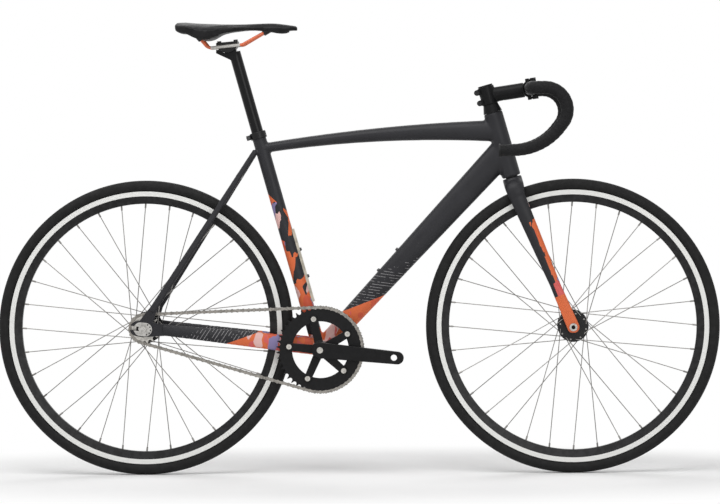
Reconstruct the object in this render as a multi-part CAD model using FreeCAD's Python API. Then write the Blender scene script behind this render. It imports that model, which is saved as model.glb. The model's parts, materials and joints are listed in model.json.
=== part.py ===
import FreeCAD, Part
import math
import os

# Fixed gear bike with a drop bar. Every piece is its own solid, in millimetres.
# +X is forward, +Y is the rider's left and +Z is up.
# The origin is on the ground, midway between the two axles.

V = FreeCAD.Vector
SIDE = V(0, 1, 0)
UP = V(0, 0, 1)
RIGHT = -1
LEFT = 1

# Frame geometry
WHEELBASE = 984.0
BEAD_SEAT_RADIUS = 311.0
TYRE_HEIGHT = 28.0
BRACKET_DROP = 50.0
CHAINSTAY_LENGTH = 407.1
SEAT_ANGLE = 74.3
HEAD_ANGLE = 74.0
FORK_RAKE = 39.5
FORK_LENGTH = 369.5
SEAT_TUBE_LENGTH = 517.5
SEAT_TUBE_SETBACK = 5.0
HEAD_TUBE_LENGTH = 153.5
TUBE_WALL = 2.0
FIT = 0.05
CLEAR = 0.4
CUT_MARGIN = 1.0
HEX_CORNERS = 6

# Frame tubes
HEAD_TUBE_RADIUS = 22.0
HEAD_TUBE_WALL = 2.5
SEAT_TUBE_RADIUS = 16.0
SEATPOST_RADIUS = 13.6
SHELL_RADIUS = 22.0
SHELL_BORE = 17.4
SHELL_WIDTH = 68.0
TOP_TUBE_BELOW_LIP = 36.2
TOP_TUBE_HEAD_DROP = 43.8
TOP_TUBE_BOW = 11.5
TOP_TUBE_DEPTH_REAR = 23.0
TOP_TUBE_DEPTH_FRONT = 50.5
TOP_TUBE_WIDTH_REAR = 30.0
TOP_TUBE_WIDTH_FRONT = 36.0
TOP_TUBE_SWELL = 1.6
TOP_TUBE_STEPS = 5
DOWN_TUBE_HEAD_RISE = 63.0
DOWN_TUBE_DEPTH_REAR = 42.0
DOWN_TUBE_DEPTH_FRONT = 64.0
DOWN_TUBE_WIDTH_REAR = 42.0
DOWN_TUBE_WIDTH_FRONT = 37.0
DOWN_TUBE_STEPS = 3
CHAINSTAY_DEPTH_FRONT = 38.0
CHAINSTAY_DEPTH_REAR = 27.0
CHAINSTAY_WIDTH_FRONT = 17.0
CHAINSTAY_WIDTH_REAR = 14.0
CHAINSTAY_FRONT_OFFSET = 24.0
CHAINSTAY_WAIST_OFFSET = 27.6
CHAINSTAY_WAIST_REACH = 112.0
CHAINSTAY_RAISE = 4.0
SEATSTAY_DEPTH_TOP = 13.0
SEATSTAY_DEPTH_LOW = 17.5
SEATSTAY_WIDTH = 12.0
SEATSTAY_TOP_OFFSET = 12.0
SEATSTAY_TOP_SETBACK = 15.0
SEATSTAY_TOP_HEIGHT = 480.0
SEATSTAY_ANGLE = 64.0
STAY_END_REACH = 44.0
STAY_PLUG = 24.0
BRIDGE_RADIUS = 7.0
SEAT_BRIDGE_SHARE = 0.84
BRIDGE_TYRE_GAP = 8.0

# Track ends
REAR_HUB_WIDTH = 120.0
DROPOUT_THICKNESS = 6.0
DROPOUT_HALF_HEIGHT = 18.0
DROPOUT_INSET = 1.0
TRACK_SLOT_LENGTH = 26.0
PLATE_LENGTH = 42.0
PLATE_HEIGHT = 31.0
PLATE_THICKNESS = 2.0
PLATE_HOLE_RADIUS = 1.7
PLATE_HOLES = 5
PLATE_HOLE_START = -70.0
PLATE_HOLE_STEP = 35.0
REAR_AXLE_RADIUS = 5.0
AXLE_NUT_FLATS = 15.0
AXLE_NUT_HEIGHT = 9.0
AXLE_TAIL = 3.0
LOCKNUT_THICKNESS = 4.0

# Small frame fittings
COLLAR_HEIGHT = 16.0
COLLAR_TUBE_GRIP = 13.0
COLLAR_WALL = 2.6
COLLAR_EAR_LENGTH = 9.0
COLLAR_EAR_HEIGHT = 11.0
COLLAR_EAR_THICKNESS = 7.0
COLLAR_SLIT = 2.5
BOSS_SPACING = 64.0
BOTTLE_BOLT_RADIUS = 2.5
BOTTLE_BOLT_HEAD_RADIUS = 4.5
BOTTLE_BOLT_HEAD_HEIGHT = 4.0
BOTTLE_BOLT_DEPTH = 5.0
SEAT_BOSS_HEIGHT = 169.5
DOWN_BOSS_HEIGHT = 222.0
STRIP_BELOW = 60.0
STRIP_LENGTH = 174.0
STRIP_WIDTH = 14.0
STRIP_THICKNESS = 4.0
STRIP_SINK = 1.0
BOLT_HEAD_TAPER = 0.7

# Steering
HEADSET_GAP = 2.3
BEARING_HEIGHT = 7.0
STEERER_RADIUS = 14.3
STEERER_WALL = 2.4
HEADSET_COVER_HEIGHT = 20.5
HEADSET_COVER_TOP_RADIUS = 17.0
CROWN_NECK = 14.0
CROWN_DEPTH = 26.0
CROWN_CHORD = 45.0
CROWN_LEG_DROP = 46.0
CROWN_LEG_OFFSET = 33.0
CROWN_SHOULDER_SHARE = 0.75
STEERER_FLOOR = 4.0
BLADE_TOP_CHORD = 37.0
BLADE_TIP_CHORD = 18.5
BLADE_TOP_WIDTH = 22.0
BLADE_TIP_WIDTH = 8.0
FRONT_HUB_WIDTH = 100.0
TIP_EYE_RADIUS = 14.0
BLADE_PLUG = 60.0
BLADE_STEPS = 2
FRONT_AXLE_RADIUS = 5.0
FRONT_BOLT_HEAD_RADIUS = 9.0
FRONT_BOLT_HEAD_HEIGHT = 6.5
BOLT_SOCKET_FLATS = 6.0

# Stem and bar
STEM_CLAMP_HEIGHT = 41.5
STEM_WALL = 4.7
STEM_REACH = 100.2
STEM_RISE = 8.5
STEM_EAR_REACH = 23.0
STEM_EAR_WIDTH = 24.0
STEM_EAR_RADIUS = 6.5
STEM_BOLT_SHARE = 0.3
STEM_HALF_HEIGHT = 17.0
STEM_HALF_WIDTH = 14.5
TOP_CAP_HEIGHT = 3.5
BAR_CLAMP_RADIUS = 15.9
BAR_RADIUS = 12.0
BAR_WALL = 2.0
BAR_CLAMP_WIDTH = 46.0
BAR_CLAMP_WALL = 4.6
CLAMP_LUG_HEIGHT = 4.0
CLAMP_LUG_DEPTH = 10.0
CLAMP_GAP = 2.0
CLAMP_BOLT_RADIUS = 2.5
CLAMP_BOLT_HEAD_RADIUS = 4.2
CLAMP_BOLT_HEAD_HEIGHT = 4.5
CLAMP_BOLT_SPREAD = 15.0
SPLIT_BLOCK_SCALE = 4.0
BAR_BULGE_HALF = 36.0
BAR_TAPER_HALF = 62.0
BAR_HALF_WIDTH = 205.0
BAR_REACH = 80.0
BAR_DROP = 141.0
BAR_HOOK_LENGTH = 150.0
BAR_LEG_SLOPE = 52.0
BAR_GRIP_FALL = 2.0
BAR_CORNER_RADIUS = 25.0
BAR_BEND_RADIUS = 50.0
BAR_HOOK_RADIUS = 130.0
TAPE_START = 76.0
TAPE_THICKNESS = 3.0
PLUG_HEIGHT = 4.0
PLUG_DEPTH = 14.0

# Wheels
TYRE_HALF_WIDTH = 13.5
TYRE_WALL = 2.2
TYRE_SIDE_ANGLE = 30.0
RIM_EDGE_RADIUS = 314.0
RIM_TRACK_LOW_RADIUS = 303.0
RIM_INNER_RADIUS = 285.5
RIM_HALF_WIDTH = 10.5
RIM_BED_HALF_WIDTH = 8.0
RIM_BED_DEPTH = 4.0
RIM_WALL = 2.2
RIM_NOSE_HALF_WIDTH = 5.0
SPOKES_PER_FLANGE = 16
SPOKE_CROSSES = 3
SPOKE_RADIUS = 1.0
SPOKE_HEAD_RADIUS = 1.9
SPOKE_HEAD_HEIGHT = 1.0
SPOKE_CIRCLE_RADIUS = 30.0
SPOKE_HOLE_CLEARANCE = 0.2
SPOKE_LIFT = 1.8
NIPPLE_RADIUS = 2.0
NIPPLE_LENGTH = 12.0
RIM_STAGGER = 1.5
FLANGE_RADIUS = 35.5
FLANGE_THICKNESS = 3.0
FRONT_FLANGE_OFFSET = 33.0
REAR_FLANGE_OFFSET = 31.0
HUB_BARREL_RADIUS = 15.0
HUB_BEARING_RADIUS = 12.0
HUB_BEARING_WIDTH = 8.0
FRONT_HUB_HALF = 45.0
REAR_HUB_HALF = 54.0
HUB_THREAD_RADIUS = 17.5

# Drive
CHAIN_PITCH = 12.7
CHAINLINE = 43.0
RING_TEETH = 48
SPROCKET_TEETH = 16
RING_THICKNESS = 2.9
CHAIN_INNER_GAP = 3.5
CHAIN_PLATE = 1.0
CHAIN_PLATE_GAP = 0.15
CHAIN_ROLLER_RADIUS = 3.85
CHAIN_BORE_RADIUS = 2.0
CHAIN_PIN_RADIUS = 1.75
CHAIN_PIN_PROUD = 0.6
CHAIN_PLATE_END_RADIUS = 4.1
CHAIN_PLATE_WAIST = 3.0
TOOTH_SEAT_CLEARANCE = 0.35
TOOTH_HEIGHT = 3.7
TOOTH_TIP_HALF_WIDTH = 0.8
TOOTH_SEAT_ANGLE = 62.0
RING_INNER_RADIUS = 65.0
BOLT_CIRCLE_RADIUS = 72.0
SPIDER_ARMS = 5
SPIDER_THICKNESS = 5.5
SPIDER_END_RADIUS = 8.5
SPIDER_ROOT_HALF_WIDTH = 10.5
SPIDER_HUB_RADIUS = 20.0
RING_BOLT_RADIUS = 5.0
RING_BOLT_HEAD_RADIUS = 6.0
RING_BOLT_HEAD_HEIGHT = 1.6
CRANK_LENGTH = 170.0
CRANK_DROP_ANGLE = 6.0
CRANK_BOSS_RADIUS = 18.0
CRANK_END_RADIUS = 14.5
CRANK_END_BEYOND = 8.0
CRANK_THICKNESS = 13.0
CRANK_INNER_FACE = 54.0
CRANK_BOSS_FACE = 40.0
PEDAL_HOLE_RADIUS = 7.14
SPINDLE_RADIUS = 8.5
SPINDLE_HALF = 60.0
CUP_FLANGE_RADIUS = 21.0
CUP_FLANGE = 3.0
CUP_DEPTH = 20.0
CRANK_BOLT_RADIUS = 4.0
CRANK_BOLT_HEAD_RADIUS = 7.0
CRANK_BOLT_HEAD_HEIGHT = 5.0
CRANK_BOLT_DEPTH = 16.0
LOCKRING_RADIUS = 19.5
LOCKRING_THICKNESS = 4.0
LOCKRING_LIP = 2.0
LOCKRING_NOTCHES = 3
LOCKRING_NOTCH_START = 30.0

# Post and saddle
POST_INSERT = 100.0
POST_TOP_HEIGHT = 712.0
POST_WALL = 2.2
CLAMP_SETBACK = 11.0
RAIL_HEIGHT_OVER_POST = 17.0
RAIL_TILT = 5.5
RAIL_RADIUS = 3.5
RAIL_OFFSET = 22.0
RAIL_REAR = 43.6
RAIL_FRONT = 35.3
RAIL_TAIL_X = 62.0
RAIL_TAIL_Z = 27.0
RAIL_TAIL_OFFSET = 37.0
RAIL_NOSE_X = 93.0
RAIL_NOSE_Z = 26.0
RAIL_NOSE_OFFSET = 9.0
RAIL_BEND_RADIUS = 14.0
CRADLE_RADIUS = 27.0
CRADLE_CENTRE_RISE = 12.0
CRADLE_HALF_WIDTH = 22.5
YOKE_HALF_LENGTH = 25.0
YOKE_HEIGHT = 10.0
CLAMP_SPLIT = 1.0
POST_HEAD_HALF_WIDTH = 15.0
POST_HEAD_HEIGHT = 24.0
POST_HEAD_AHEAD = 20.5
POST_HEAD_BEHIND = 26.0
POST_HEAD_LIP = 8.0
POST_HEAD_FOOT = 8.0
SADDLE_BOLT_RADIUS = 3.0
SADDLE_BOLT_HEAD_RADIUS = 5.0
SADDLE_BOLT_HEAD_HEIGHT = 4.0
SADDLE_BOLT_SPREAD = 19.0
SADDLE_LENGTH = 280.0
SADDLE_TAIL_BEHIND = 119.0
SADDLE_TOP_OVER_RAIL = 50.0
SADDLE_BASE_THICKNESS = 3.5
SADDLE_BASE_PROUD = 1.5
SADDLE_RIM = 6.0
SADDLE_RIM_SHARE = 0.25
SADDLE_CROWN = 0.4
SADDLE_TUCK = 4.0
SOCKET_GRIP = 9.0
SOCKET_REACH = 8.0
SOCKET_WALL = 3.0

# Places worked out from the driving dimensions
WHEEL_RADIUS = BEAD_SEAT_RADIUS + TYRE_HEIGHT
REAR_AXLE = V(-WHEELBASE / 2, 0, WHEEL_RADIUS)
FRONT_AXLE = V(WHEELBASE / 2, 0, WHEEL_RADIUS)
BRACKET = V(REAR_AXLE.x + math.sqrt(CHAINSTAY_LENGTH ** 2 - BRACKET_DROP ** 2), 0,
            WHEEL_RADIUS - BRACKET_DROP)
HEAD_LEAN = math.radians(HEAD_ANGLE)
STEER_UP = V(-math.cos(HEAD_LEAN), 0, math.sin(HEAD_LEAN))
STEER_AHEAD = V(math.sin(HEAD_LEAN), 0, math.cos(HEAD_LEAN))
STEER_FOOT = FRONT_AXLE - STEER_AHEAD * FORK_RAKE
SEAT_LEAN = math.radians(SEAT_ANGLE)
SEAT_UP = V(-math.cos(SEAT_LEAN), 0, math.sin(SEAT_LEAN))
SEAT_AHEAD = V(math.sin(SEAT_LEAN), 0, math.cos(SEAT_LEAN))
CROWN_SEAT = math.sqrt(FORK_LENGTH ** 2 - FORK_RAKE ** 2)
HEAD_LOW = CROWN_SEAT + HEADSET_GAP
HEAD_HIGH = HEAD_LOW + HEAD_TUBE_LENGTH
COVER_HIGH = HEAD_HIGH + HEADSET_COVER_HEIGHT
STEM_HIGH = COVER_HIGH + STEM_CLAMP_HEIGHT
DROPOUT_FACE = REAR_HUB_WIDTH / 2
PLATE_FACE = DROPOUT_FACE + DROPOUT_THICKNESS
NUT_FACE = PLATE_FACE + PLATE_THICKNESS
BAR_CENTRE_RISE = math.radians(STEM_RISE)
STEM_AHEAD = V(math.cos(BAR_CENTRE_RISE), 0, math.sin(BAR_CENTRE_RISE))
STEM_ABOVE = V(-math.sin(BAR_CENTRE_RISE), 0, math.cos(BAR_CENTRE_RISE))


def steer_point(along):
    return STEER_FOOT + STEER_UP * along


def seat_point(along):
    return BRACKET - SEAT_AHEAD * SEAT_TUBE_SETBACK + SEAT_UP * along


STEM_MIDDLE = steer_point(COVER_HIGH + STEM_CLAMP_HEIGHT / 2)
BAR_CENTRE = STEM_MIDDLE + STEM_AHEAD * STEM_REACH


def rod(start, end, radius):
    run = end - start
    return Part.makeCylinder(radius, run.Length, start, run)


def pipe(start, end, outer_radius, bore_radius):
    return rod(start, end, outer_radius).cut(rod(start, end, bore_radius))


def cross_rod(centre, y_start, y_end, radius):
    return rod(V(centre.x, y_start, centre.z), V(centre.x, y_end, centre.z), radius)


def cross_pipe(centre, y_start, y_end, outer_radius, bore_radius):
    outer = cross_rod(centre, y_start, y_end, outer_radius)
    return outer.cut(cross_rod(centre, y_start, y_end, bore_radius))


def block(centre, along, width, above, length, y_width, height):
    """A box with its length on `along` and its height on `above`, about its centre."""
    corner = centre - along * (length / 2) - width * (y_width / 2) - above * (height / 2)
    points = [corner, corner + along * length, corner + along * length + width * y_width,
              corner + width * y_width, corner]
    return Part.Face(Part.makePolygon(points)).extrude(above * height)


def oval(centre, across, half_across, beside, half_beside):
    """A closed oval wire about a centre, with a half size on each of two directions."""
    normal = across.cross(beside)
    frame = FreeCAD.Matrix(across.x * half_across, beside.x * half_beside, normal.x, centre.x,
                           across.y * half_across, beside.y * half_beside, normal.y, centre.y,
                           across.z * half_across, beside.z * half_beside, normal.z, centre.z,
                           0, 0, 0, 1)
    circle = Part.Wire(Part.Circle(V(0, 0, 0), UP, 1.0).toShape())
    return Part.Wire(circle.transformGeometry(frame).Edges)


def oval_loft(stations):
    """A solid through (centre, across, half size, beside, half size) stations."""
    return Part.makeLoft([oval(*station) for station in stations], True)


def thinner(stations, wall):
    return [(centre, across, half - wall, beside, depth - wall)
            for centre, across, half, beside, depth in stations]


def oval_tube(stations, wall):
    return oval_loft(stations).cut(oval_loft(thinner(stations, wall)))


def plugged_tube(stations, wall, plug):
    """An oval tube that is solid within `plug` of its two ends."""
    hollow = oval_loft(thinner(stations, wall))
    for end in (stations[0], stations[-1]):
        hollow = hollow.cut(Part.makeSphere(plug, end[0]))
    return oval_loft(stations).cut(hollow)


def hex_prism(centre, y_start, y_end, flats):
    radius = flats / math.sqrt(3)
    corners = []
    for corner in range(HEX_CORNERS + 1):
        angle = 2 * math.pi * corner / HEX_CORNERS
        corners.append(V(centre.x + radius * math.cos(angle), y_start,
                         centre.z + radius * math.sin(angle)))
    return Part.Face(Part.makePolygon(corners)).extrude(V(0, y_end - y_start, 0))


def rounded_path(corners, radii):
    """Straight runs through the corners, with a tangent arc of its own radius at each turn."""
    edges = []
    last = corners[0]
    for before, corner, after, radius in zip(corners, corners[1:], corners[2:], radii):
        back = (before - corner).normalize()
        ahead = (after - corner).normalize()
        half_turn = (math.pi - back.getAngle(ahead)) / 2
        start = corner + back * (radius * math.tan(half_turn))
        end = corner + ahead * (radius * math.tan(half_turn))
        inward = (back + ahead).normalize()
        middle = corner + inward * (radius / math.cos(half_turn) - radius)
        edges.append(Part.LineSegment(last, start).toShape())
        edges.append(Part.Arc(start, middle, end).toShape())
        last = end
    edges.append(Part.LineSegment(last, corners[-1]).toShape())
    return Part.Wire(edges)


def swept(path, radius):
    first = path.Edges[0]
    start = first.valueAt(first.FirstParameter)
    heading = first.tangentAt(first.FirstParameter)
    section = Part.Wire(Part.Circle(start, heading, radius).toShape())
    return path.makePipeShell([section], True, False)


def flat_hull(centre, far, radius, far_radius, y_start, y_end):
    """A plate with two round ends joined by their outer tangents, in the XZ plane."""
    run = far - centre
    heading = math.atan2(run.z, run.x)
    spread = math.acos((radius - far_radius) / run.Length)

    def rim_point(middle, size, angle):
        return V(middle.x + size * math.cos(angle), y_start, middle.z + size * math.sin(angle))

    upper = rim_point(centre, radius, heading + spread)
    lower = rim_point(centre, radius, heading - spread)
    far_upper = rim_point(far, far_radius, heading + spread)
    far_lower = rim_point(far, far_radius, heading - spread)
    outline = [Part.Arc(upper, rim_point(centre, radius, heading + math.pi), lower).toShape(),
               Part.LineSegment(lower, far_lower).toShape(),
               Part.Arc(far_lower, rim_point(far, far_radius, heading), far_upper).toShape(),
               Part.LineSegment(far_upper, upper).toShape()]
    return Part.Face(Part.Wire(outline)).extrude(V(0, y_end - y_start, 0))


def largest_solid(shape):
    return max(shape.Solids, key=lambda solid: solid.Volume)


def turned(shape, centre, degrees):
    copy = shape.copy()
    copy.rotate(centre, SIDE, degrees)
    return copy


# Frame tubes

def head_tube_core():
    return rod(steer_point(HEAD_LOW), steer_point(HEAD_HIGH), HEAD_TUBE_RADIUS)


def head_tube():
    bore = rod(steer_point(HEAD_LOW), steer_point(HEAD_HIGH), HEAD_TUBE_RADIUS - HEAD_TUBE_WALL)
    return head_tube_core().cut(bore)


def shell_core():
    return cross_rod(BRACKET, -SHELL_WIDTH / 2, SHELL_WIDTH / 2, SHELL_RADIUS)


def bottom_bracket_shell():
    return cross_pipe(BRACKET, -SHELL_WIDTH / 2, SHELL_WIDTH / 2, SHELL_RADIUS, SHELL_BORE)


def seat_tube_core():
    return rod(seat_point(0), seat_point(SEAT_TUBE_LENGTH), SEAT_TUBE_RADIUS)


def seat_boss_point(step):
    """A bottle boss on the front face of the seat tube."""
    along = SEAT_BOSS_HEIGHT + BOSS_SPACING * step
    return seat_point(along) + SEAT_AHEAD * SEAT_TUBE_RADIUS


def seat_tube():
    bore = rod(seat_point(0), seat_point(SEAT_TUBE_LENGTH), SEATPOST_RADIUS + FIT)
    tube = seat_tube_core().cut(bore).cut(shell_core())
    for step in range(2):
        face = seat_boss_point(step)
        tube = tube.cut(rod(face - SEAT_AHEAD * BOTTLE_BOLT_DEPTH, face, BOTTLE_BOLT_RADIUS))
    return tube


def down_tube_line():
    head_end = steer_point(HEAD_LOW + DOWN_TUBE_HEAD_RISE)
    ahead = (head_end - BRACKET).normalize()
    return head_end, ahead, V(-ahead.z, 0, ahead.x)


def down_tube_stations():
    head_end, ahead, above = down_tube_line()
    length = (head_end - BRACKET).Length
    stations = []
    for step in range(DOWN_TUBE_STEPS + 1):
        share = step / DOWN_TUBE_STEPS
        depth = DOWN_TUBE_DEPTH_REAR + (DOWN_TUBE_DEPTH_FRONT - DOWN_TUBE_DEPTH_REAR) * share
        width = DOWN_TUBE_WIDTH_REAR + (DOWN_TUBE_WIDTH_FRONT - DOWN_TUBE_WIDTH_REAR) * share
        stations.append((BRACKET + ahead * (length * share), SIDE, width / 2, above, depth / 2))
    return stations


def down_tube_core():
    return oval_loft(down_tube_stations())


def down_boss_point(step):
    """A bottle boss on the upper face of the down tube."""
    head_end, ahead, above = down_tube_line()
    along = DOWN_BOSS_HEIGHT + BOSS_SPACING * step
    share = along / (head_end - BRACKET).Length
    depth = DOWN_TUBE_DEPTH_REAR + (DOWN_TUBE_DEPTH_FRONT - DOWN_TUBE_DEPTH_REAR) * share
    return BRACKET + ahead * along + above * (depth / 2), above


def down_tube():
    tube = oval_tube(down_tube_stations(), TUBE_WALL)
    for neighbour in (shell_core(), seat_tube_core(), head_tube_core()):
        tube = tube.cut(neighbour)
    for step in range(2):
        face, above = down_boss_point(step)
        tube = tube.cut(rod(face - above * BOTTLE_BOLT_DEPTH, face + above, BOTTLE_BOLT_RADIUS))
    return largest_solid(tube)


def top_tube_stations():
    rear = seat_point(SEAT_TUBE_LENGTH - TOP_TUBE_BELOW_LIP)
    front = steer_point(HEAD_HIGH - TOP_TUBE_HEAD_DROP)
    run = front - rear
    stations = []
    for step in range(TOP_TUBE_STEPS + 1):
        share = step / TOP_TUBE_STEPS
        bow = 4 * TOP_TUBE_BOW * share * (1 - share)
        slope = 4 * TOP_TUBE_BOW * (1 - 2 * share) / run.Length
        ahead = V(run.x, 0, run.z + slope * run.Length).normalize()
        swell = share ** TOP_TUBE_SWELL
        depth = TOP_TUBE_DEPTH_REAR + (TOP_TUBE_DEPTH_FRONT - TOP_TUBE_DEPTH_REAR) * swell
        width = TOP_TUBE_WIDTH_REAR + (TOP_TUBE_WIDTH_FRONT - TOP_TUBE_WIDTH_REAR) * share
        stations.append((rear + run * share + UP * bow, SIDE, width / 2,
                         V(-ahead.z, 0, ahead.x), depth / 2))
    return stations


def top_tube():
    tube = oval_tube(top_tube_stations(), TUBE_WALL)
    for neighbour in (seat_tube_core(), head_tube_core(), down_tube_core()):
        tube = tube.cut(neighbour)
    return largest_solid(tube)


# Stays and track ends, one side at a time

def stay_line():
    run = REAR_AXLE - BRACKET
    back = V(run.x, 0, run.z).normalize()
    return back, V(back.z, 0, -back.x), run.Length


def chainstay(side):
    back, above, length = stay_line()
    end_reach = length - STAY_END_REACH
    middle_depth = (CHAINSTAY_DEPTH_FRONT + CHAINSTAY_DEPTH_REAR) / 2
    end_offset = DROPOUT_FACE + DROPOUT_THICKNESS / 2
    middle_offset = (CHAINSTAY_WAIST_OFFSET + end_offset) / 2
    middle_reach = (CHAINSTAY_WAIST_REACH + end_reach) / 2
    places = [(0, CHAINSTAY_FRONT_OFFSET, CHAINSTAY_WIDTH_FRONT, CHAINSTAY_DEPTH_FRONT),
              (CHAINSTAY_WAIST_REACH, CHAINSTAY_WAIST_OFFSET, CHAINSTAY_WIDTH_FRONT,
               CHAINSTAY_DEPTH_FRONT),
              (middle_reach, middle_offset, CHAINSTAY_WIDTH_REAR, middle_depth),
              (end_reach, end_offset, CHAINSTAY_WIDTH_REAR, CHAINSTAY_DEPTH_REAR)]
    stations = []
    for reach, offset, width, depth in places:
        centre = BRACKET + back * reach + above * CHAINSTAY_RAISE + SIDE * (side * offset)
        stations.append((centre, SIDE, width / 2, above, depth / 2))
    tube = plugged_tube(stations, TUBE_WALL, STAY_PLUG)
    for neighbour in (shell_core(), seat_tube_core(), dropout_core(side)):
        tube = tube.cut(neighbour)
    return largest_solid(tube)


def seatstay_ends(side):
    lean = math.radians(SEATSTAY_ANGLE)
    up_back = V(math.cos(lean), 0, math.sin(lean))
    top = seat_point(SEATSTAY_TOP_HEIGHT) - SEAT_AHEAD * SEATSTAY_TOP_SETBACK
    top = top + SIDE * (side * SEATSTAY_TOP_OFFSET)
    low = REAR_AXLE + up_back * STAY_END_REACH
    low = low + SIDE * (side * (DROPOUT_FACE + DROPOUT_THICKNESS / 2))
    return low, top


def seatstay_stations(side):
    low, top = seatstay_ends(side)
    ahead = V(top.x - low.x, 0, top.z - low.z).normalize()
    above = V(-ahead.z, 0, ahead.x)
    return [(top, SIDE, SEATSTAY_WIDTH / 2, above, SEATSTAY_DEPTH_TOP / 2),
            (low, SIDE, SEATSTAY_WIDTH / 2, above, SEATSTAY_DEPTH_LOW / 2)]


def seatstay(side):
    tube = plugged_tube(seatstay_stations(side), TUBE_WALL, STAY_PLUG)
    return largest_solid(tube.cut(seat_tube_core()).cut(dropout_core(side)))


def stay_bridges():
    """Two cross tubes that hold the stays apart, ahead of the tyre and above it."""
    low, top = seatstay_ends(LEFT)
    high = low + (top - low) * SEAT_BRIDGE_SHARE
    upper = cross_rod(high, -high.y, high.y, BRIDGE_RADIUS)
    back, above, length = stay_line()
    reach = length - WHEEL_RADIUS - BRIDGE_TYRE_GAP - BRIDGE_RADIUS
    low_centre = BRACKET + back * reach + above * CHAINSTAY_RAISE
    offset = CHAINSTAY_FRONT_OFFSET
    lower = cross_rod(low_centre, -offset, offset, BRIDGE_RADIUS)
    for side in (LEFT, RIGHT):
        upper = upper.cut(oval_loft(seatstay_stations(side)))
    for neighbour in (chainstay(LEFT), chainstay(RIGHT), shell_core(), seat_tube_core()):
        lower = lower.cut(neighbour)
    return [largest_solid(upper), largest_solid(lower)]


def dropout_core(side):
    """A track end plate: a rounded lobe on the axle with arms to both stays."""
    face = side * DROPOUT_FACE
    outer = side * PLATE_FACE
    back, above, length = stay_line()
    low, top = seatstay_ends(side)
    reach = (top - low).normalize()
    chain_end = REAR_AXLE - back * (STAY_END_REACH + DROPOUT_HALF_HEIGHT / 2) + above * CHAINSTAY_RAISE
    seat_end = low + reach * (DROPOUT_HALF_HEIGHT / 2)
    rear_end = REAR_AXLE + back * TRACK_SLOT_LENGTH / 2
    slim = CHAINSTAY_DEPTH_REAR / 2 - DROPOUT_INSET
    lobe = flat_hull(REAR_AXLE, rear_end, DROPOUT_HALF_HEIGHT, DROPOUT_HALF_HEIGHT - DROPOUT_INSET,
                     face, outer)
    chain_arm = flat_hull(REAR_AXLE, chain_end, DROPOUT_HALF_HEIGHT, slim, face, outer)
    seat_arm = flat_hull(REAR_AXLE, V(seat_end.x, 0, seat_end.z), DROPOUT_HALF_HEIGHT,
                         SEATSTAY_DEPTH_LOW / 2 - DROPOUT_INSET, face, outer)
    return lobe.fuse([chain_arm, seat_arm]).removeSplitter()


def track_slot(side):
    """The open slot that the axle slides into from behind."""
    back, above, length = stay_line()
    far = REAR_AXLE + back * (TRACK_SLOT_LENGTH + DROPOUT_HALF_HEIGHT * 2)
    width = REAR_AXLE_RADIUS + FIT
    inner = side * (DROPOUT_FACE - CUT_MARGIN)
    outer = side * (NUT_FACE + CUT_MARGIN)
    return flat_hull(REAR_AXLE, far, width, width - FIT, inner, outer)


def dropout(side):
    return dropout_core(side).cut(track_slot(side))


def track_end_plate(side):
    """A thin hard plate on the outer face of a track end, pierced by a row of small holes."""
    back, above, length = stay_line()
    half = PLATE_HEIGHT / 2
    ahead = REAR_AXLE - back * ((PLATE_LENGTH - PLATE_HEIGHT) / 2)
    behind = REAR_AXLE + back * ((PLATE_LENGTH - PLATE_HEIGHT) / 2)
    plate = flat_hull(ahead, behind, half, half - FIT, side * PLATE_FACE, side * NUT_FACE)
    plate = plate.cut(track_slot(side))
    ring = half - PLATE_HOLE_RADIUS * 2
    for hole in range(PLATE_HOLES):
        angle = math.radians(PLATE_HOLE_START + PLATE_HOLE_STEP * hole)
        spot = ahead + (above * math.sin(angle) - back * math.cos(angle)) * ring
        plate = plate.cut(cross_rod(spot, side * PLATE_FACE, side * NUT_FACE, PLATE_HOLE_RADIUS))
    return plate


def rear_axle():
    half = NUT_FACE + AXLE_NUT_HEIGHT + AXLE_TAIL
    axle = cross_rod(REAR_AXLE, -half, half, REAR_AXLE_RADIUS)
    for side in (LEFT, RIGHT):
        inner = side * (DROPOUT_FACE - LOCKNUT_THICKNESS)
        axle = axle.fuse(hex_prism(REAR_AXLE, inner, side * DROPOUT_FACE, AXLE_NUT_FLATS))
    return axle


def rear_axle_nuts():
    nuts = []
    for side in (LEFT, RIGHT):
        nut = hex_prism(REAR_AXLE, side * NUT_FACE, side * (NUT_FACE + AXLE_NUT_HEIGHT),
                        AXLE_NUT_FLATS)
        nuts.append(nut.cut(cross_rod(REAR_AXLE, side * NUT_FACE,
                                      side * (NUT_FACE + AXLE_NUT_HEIGHT), REAR_AXLE_RADIUS)))
    return nuts


# Small frame fittings

def collar_ear_centre():
    along = SEAT_TUBE_LENGTH - COLLAR_TUBE_GRIP + COLLAR_HEIGHT / 2
    reach = SEAT_TUBE_RADIUS + COLLAR_WALL + COLLAR_EAR_LENGTH / 2
    return seat_point(along) - SEAT_AHEAD * reach


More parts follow.
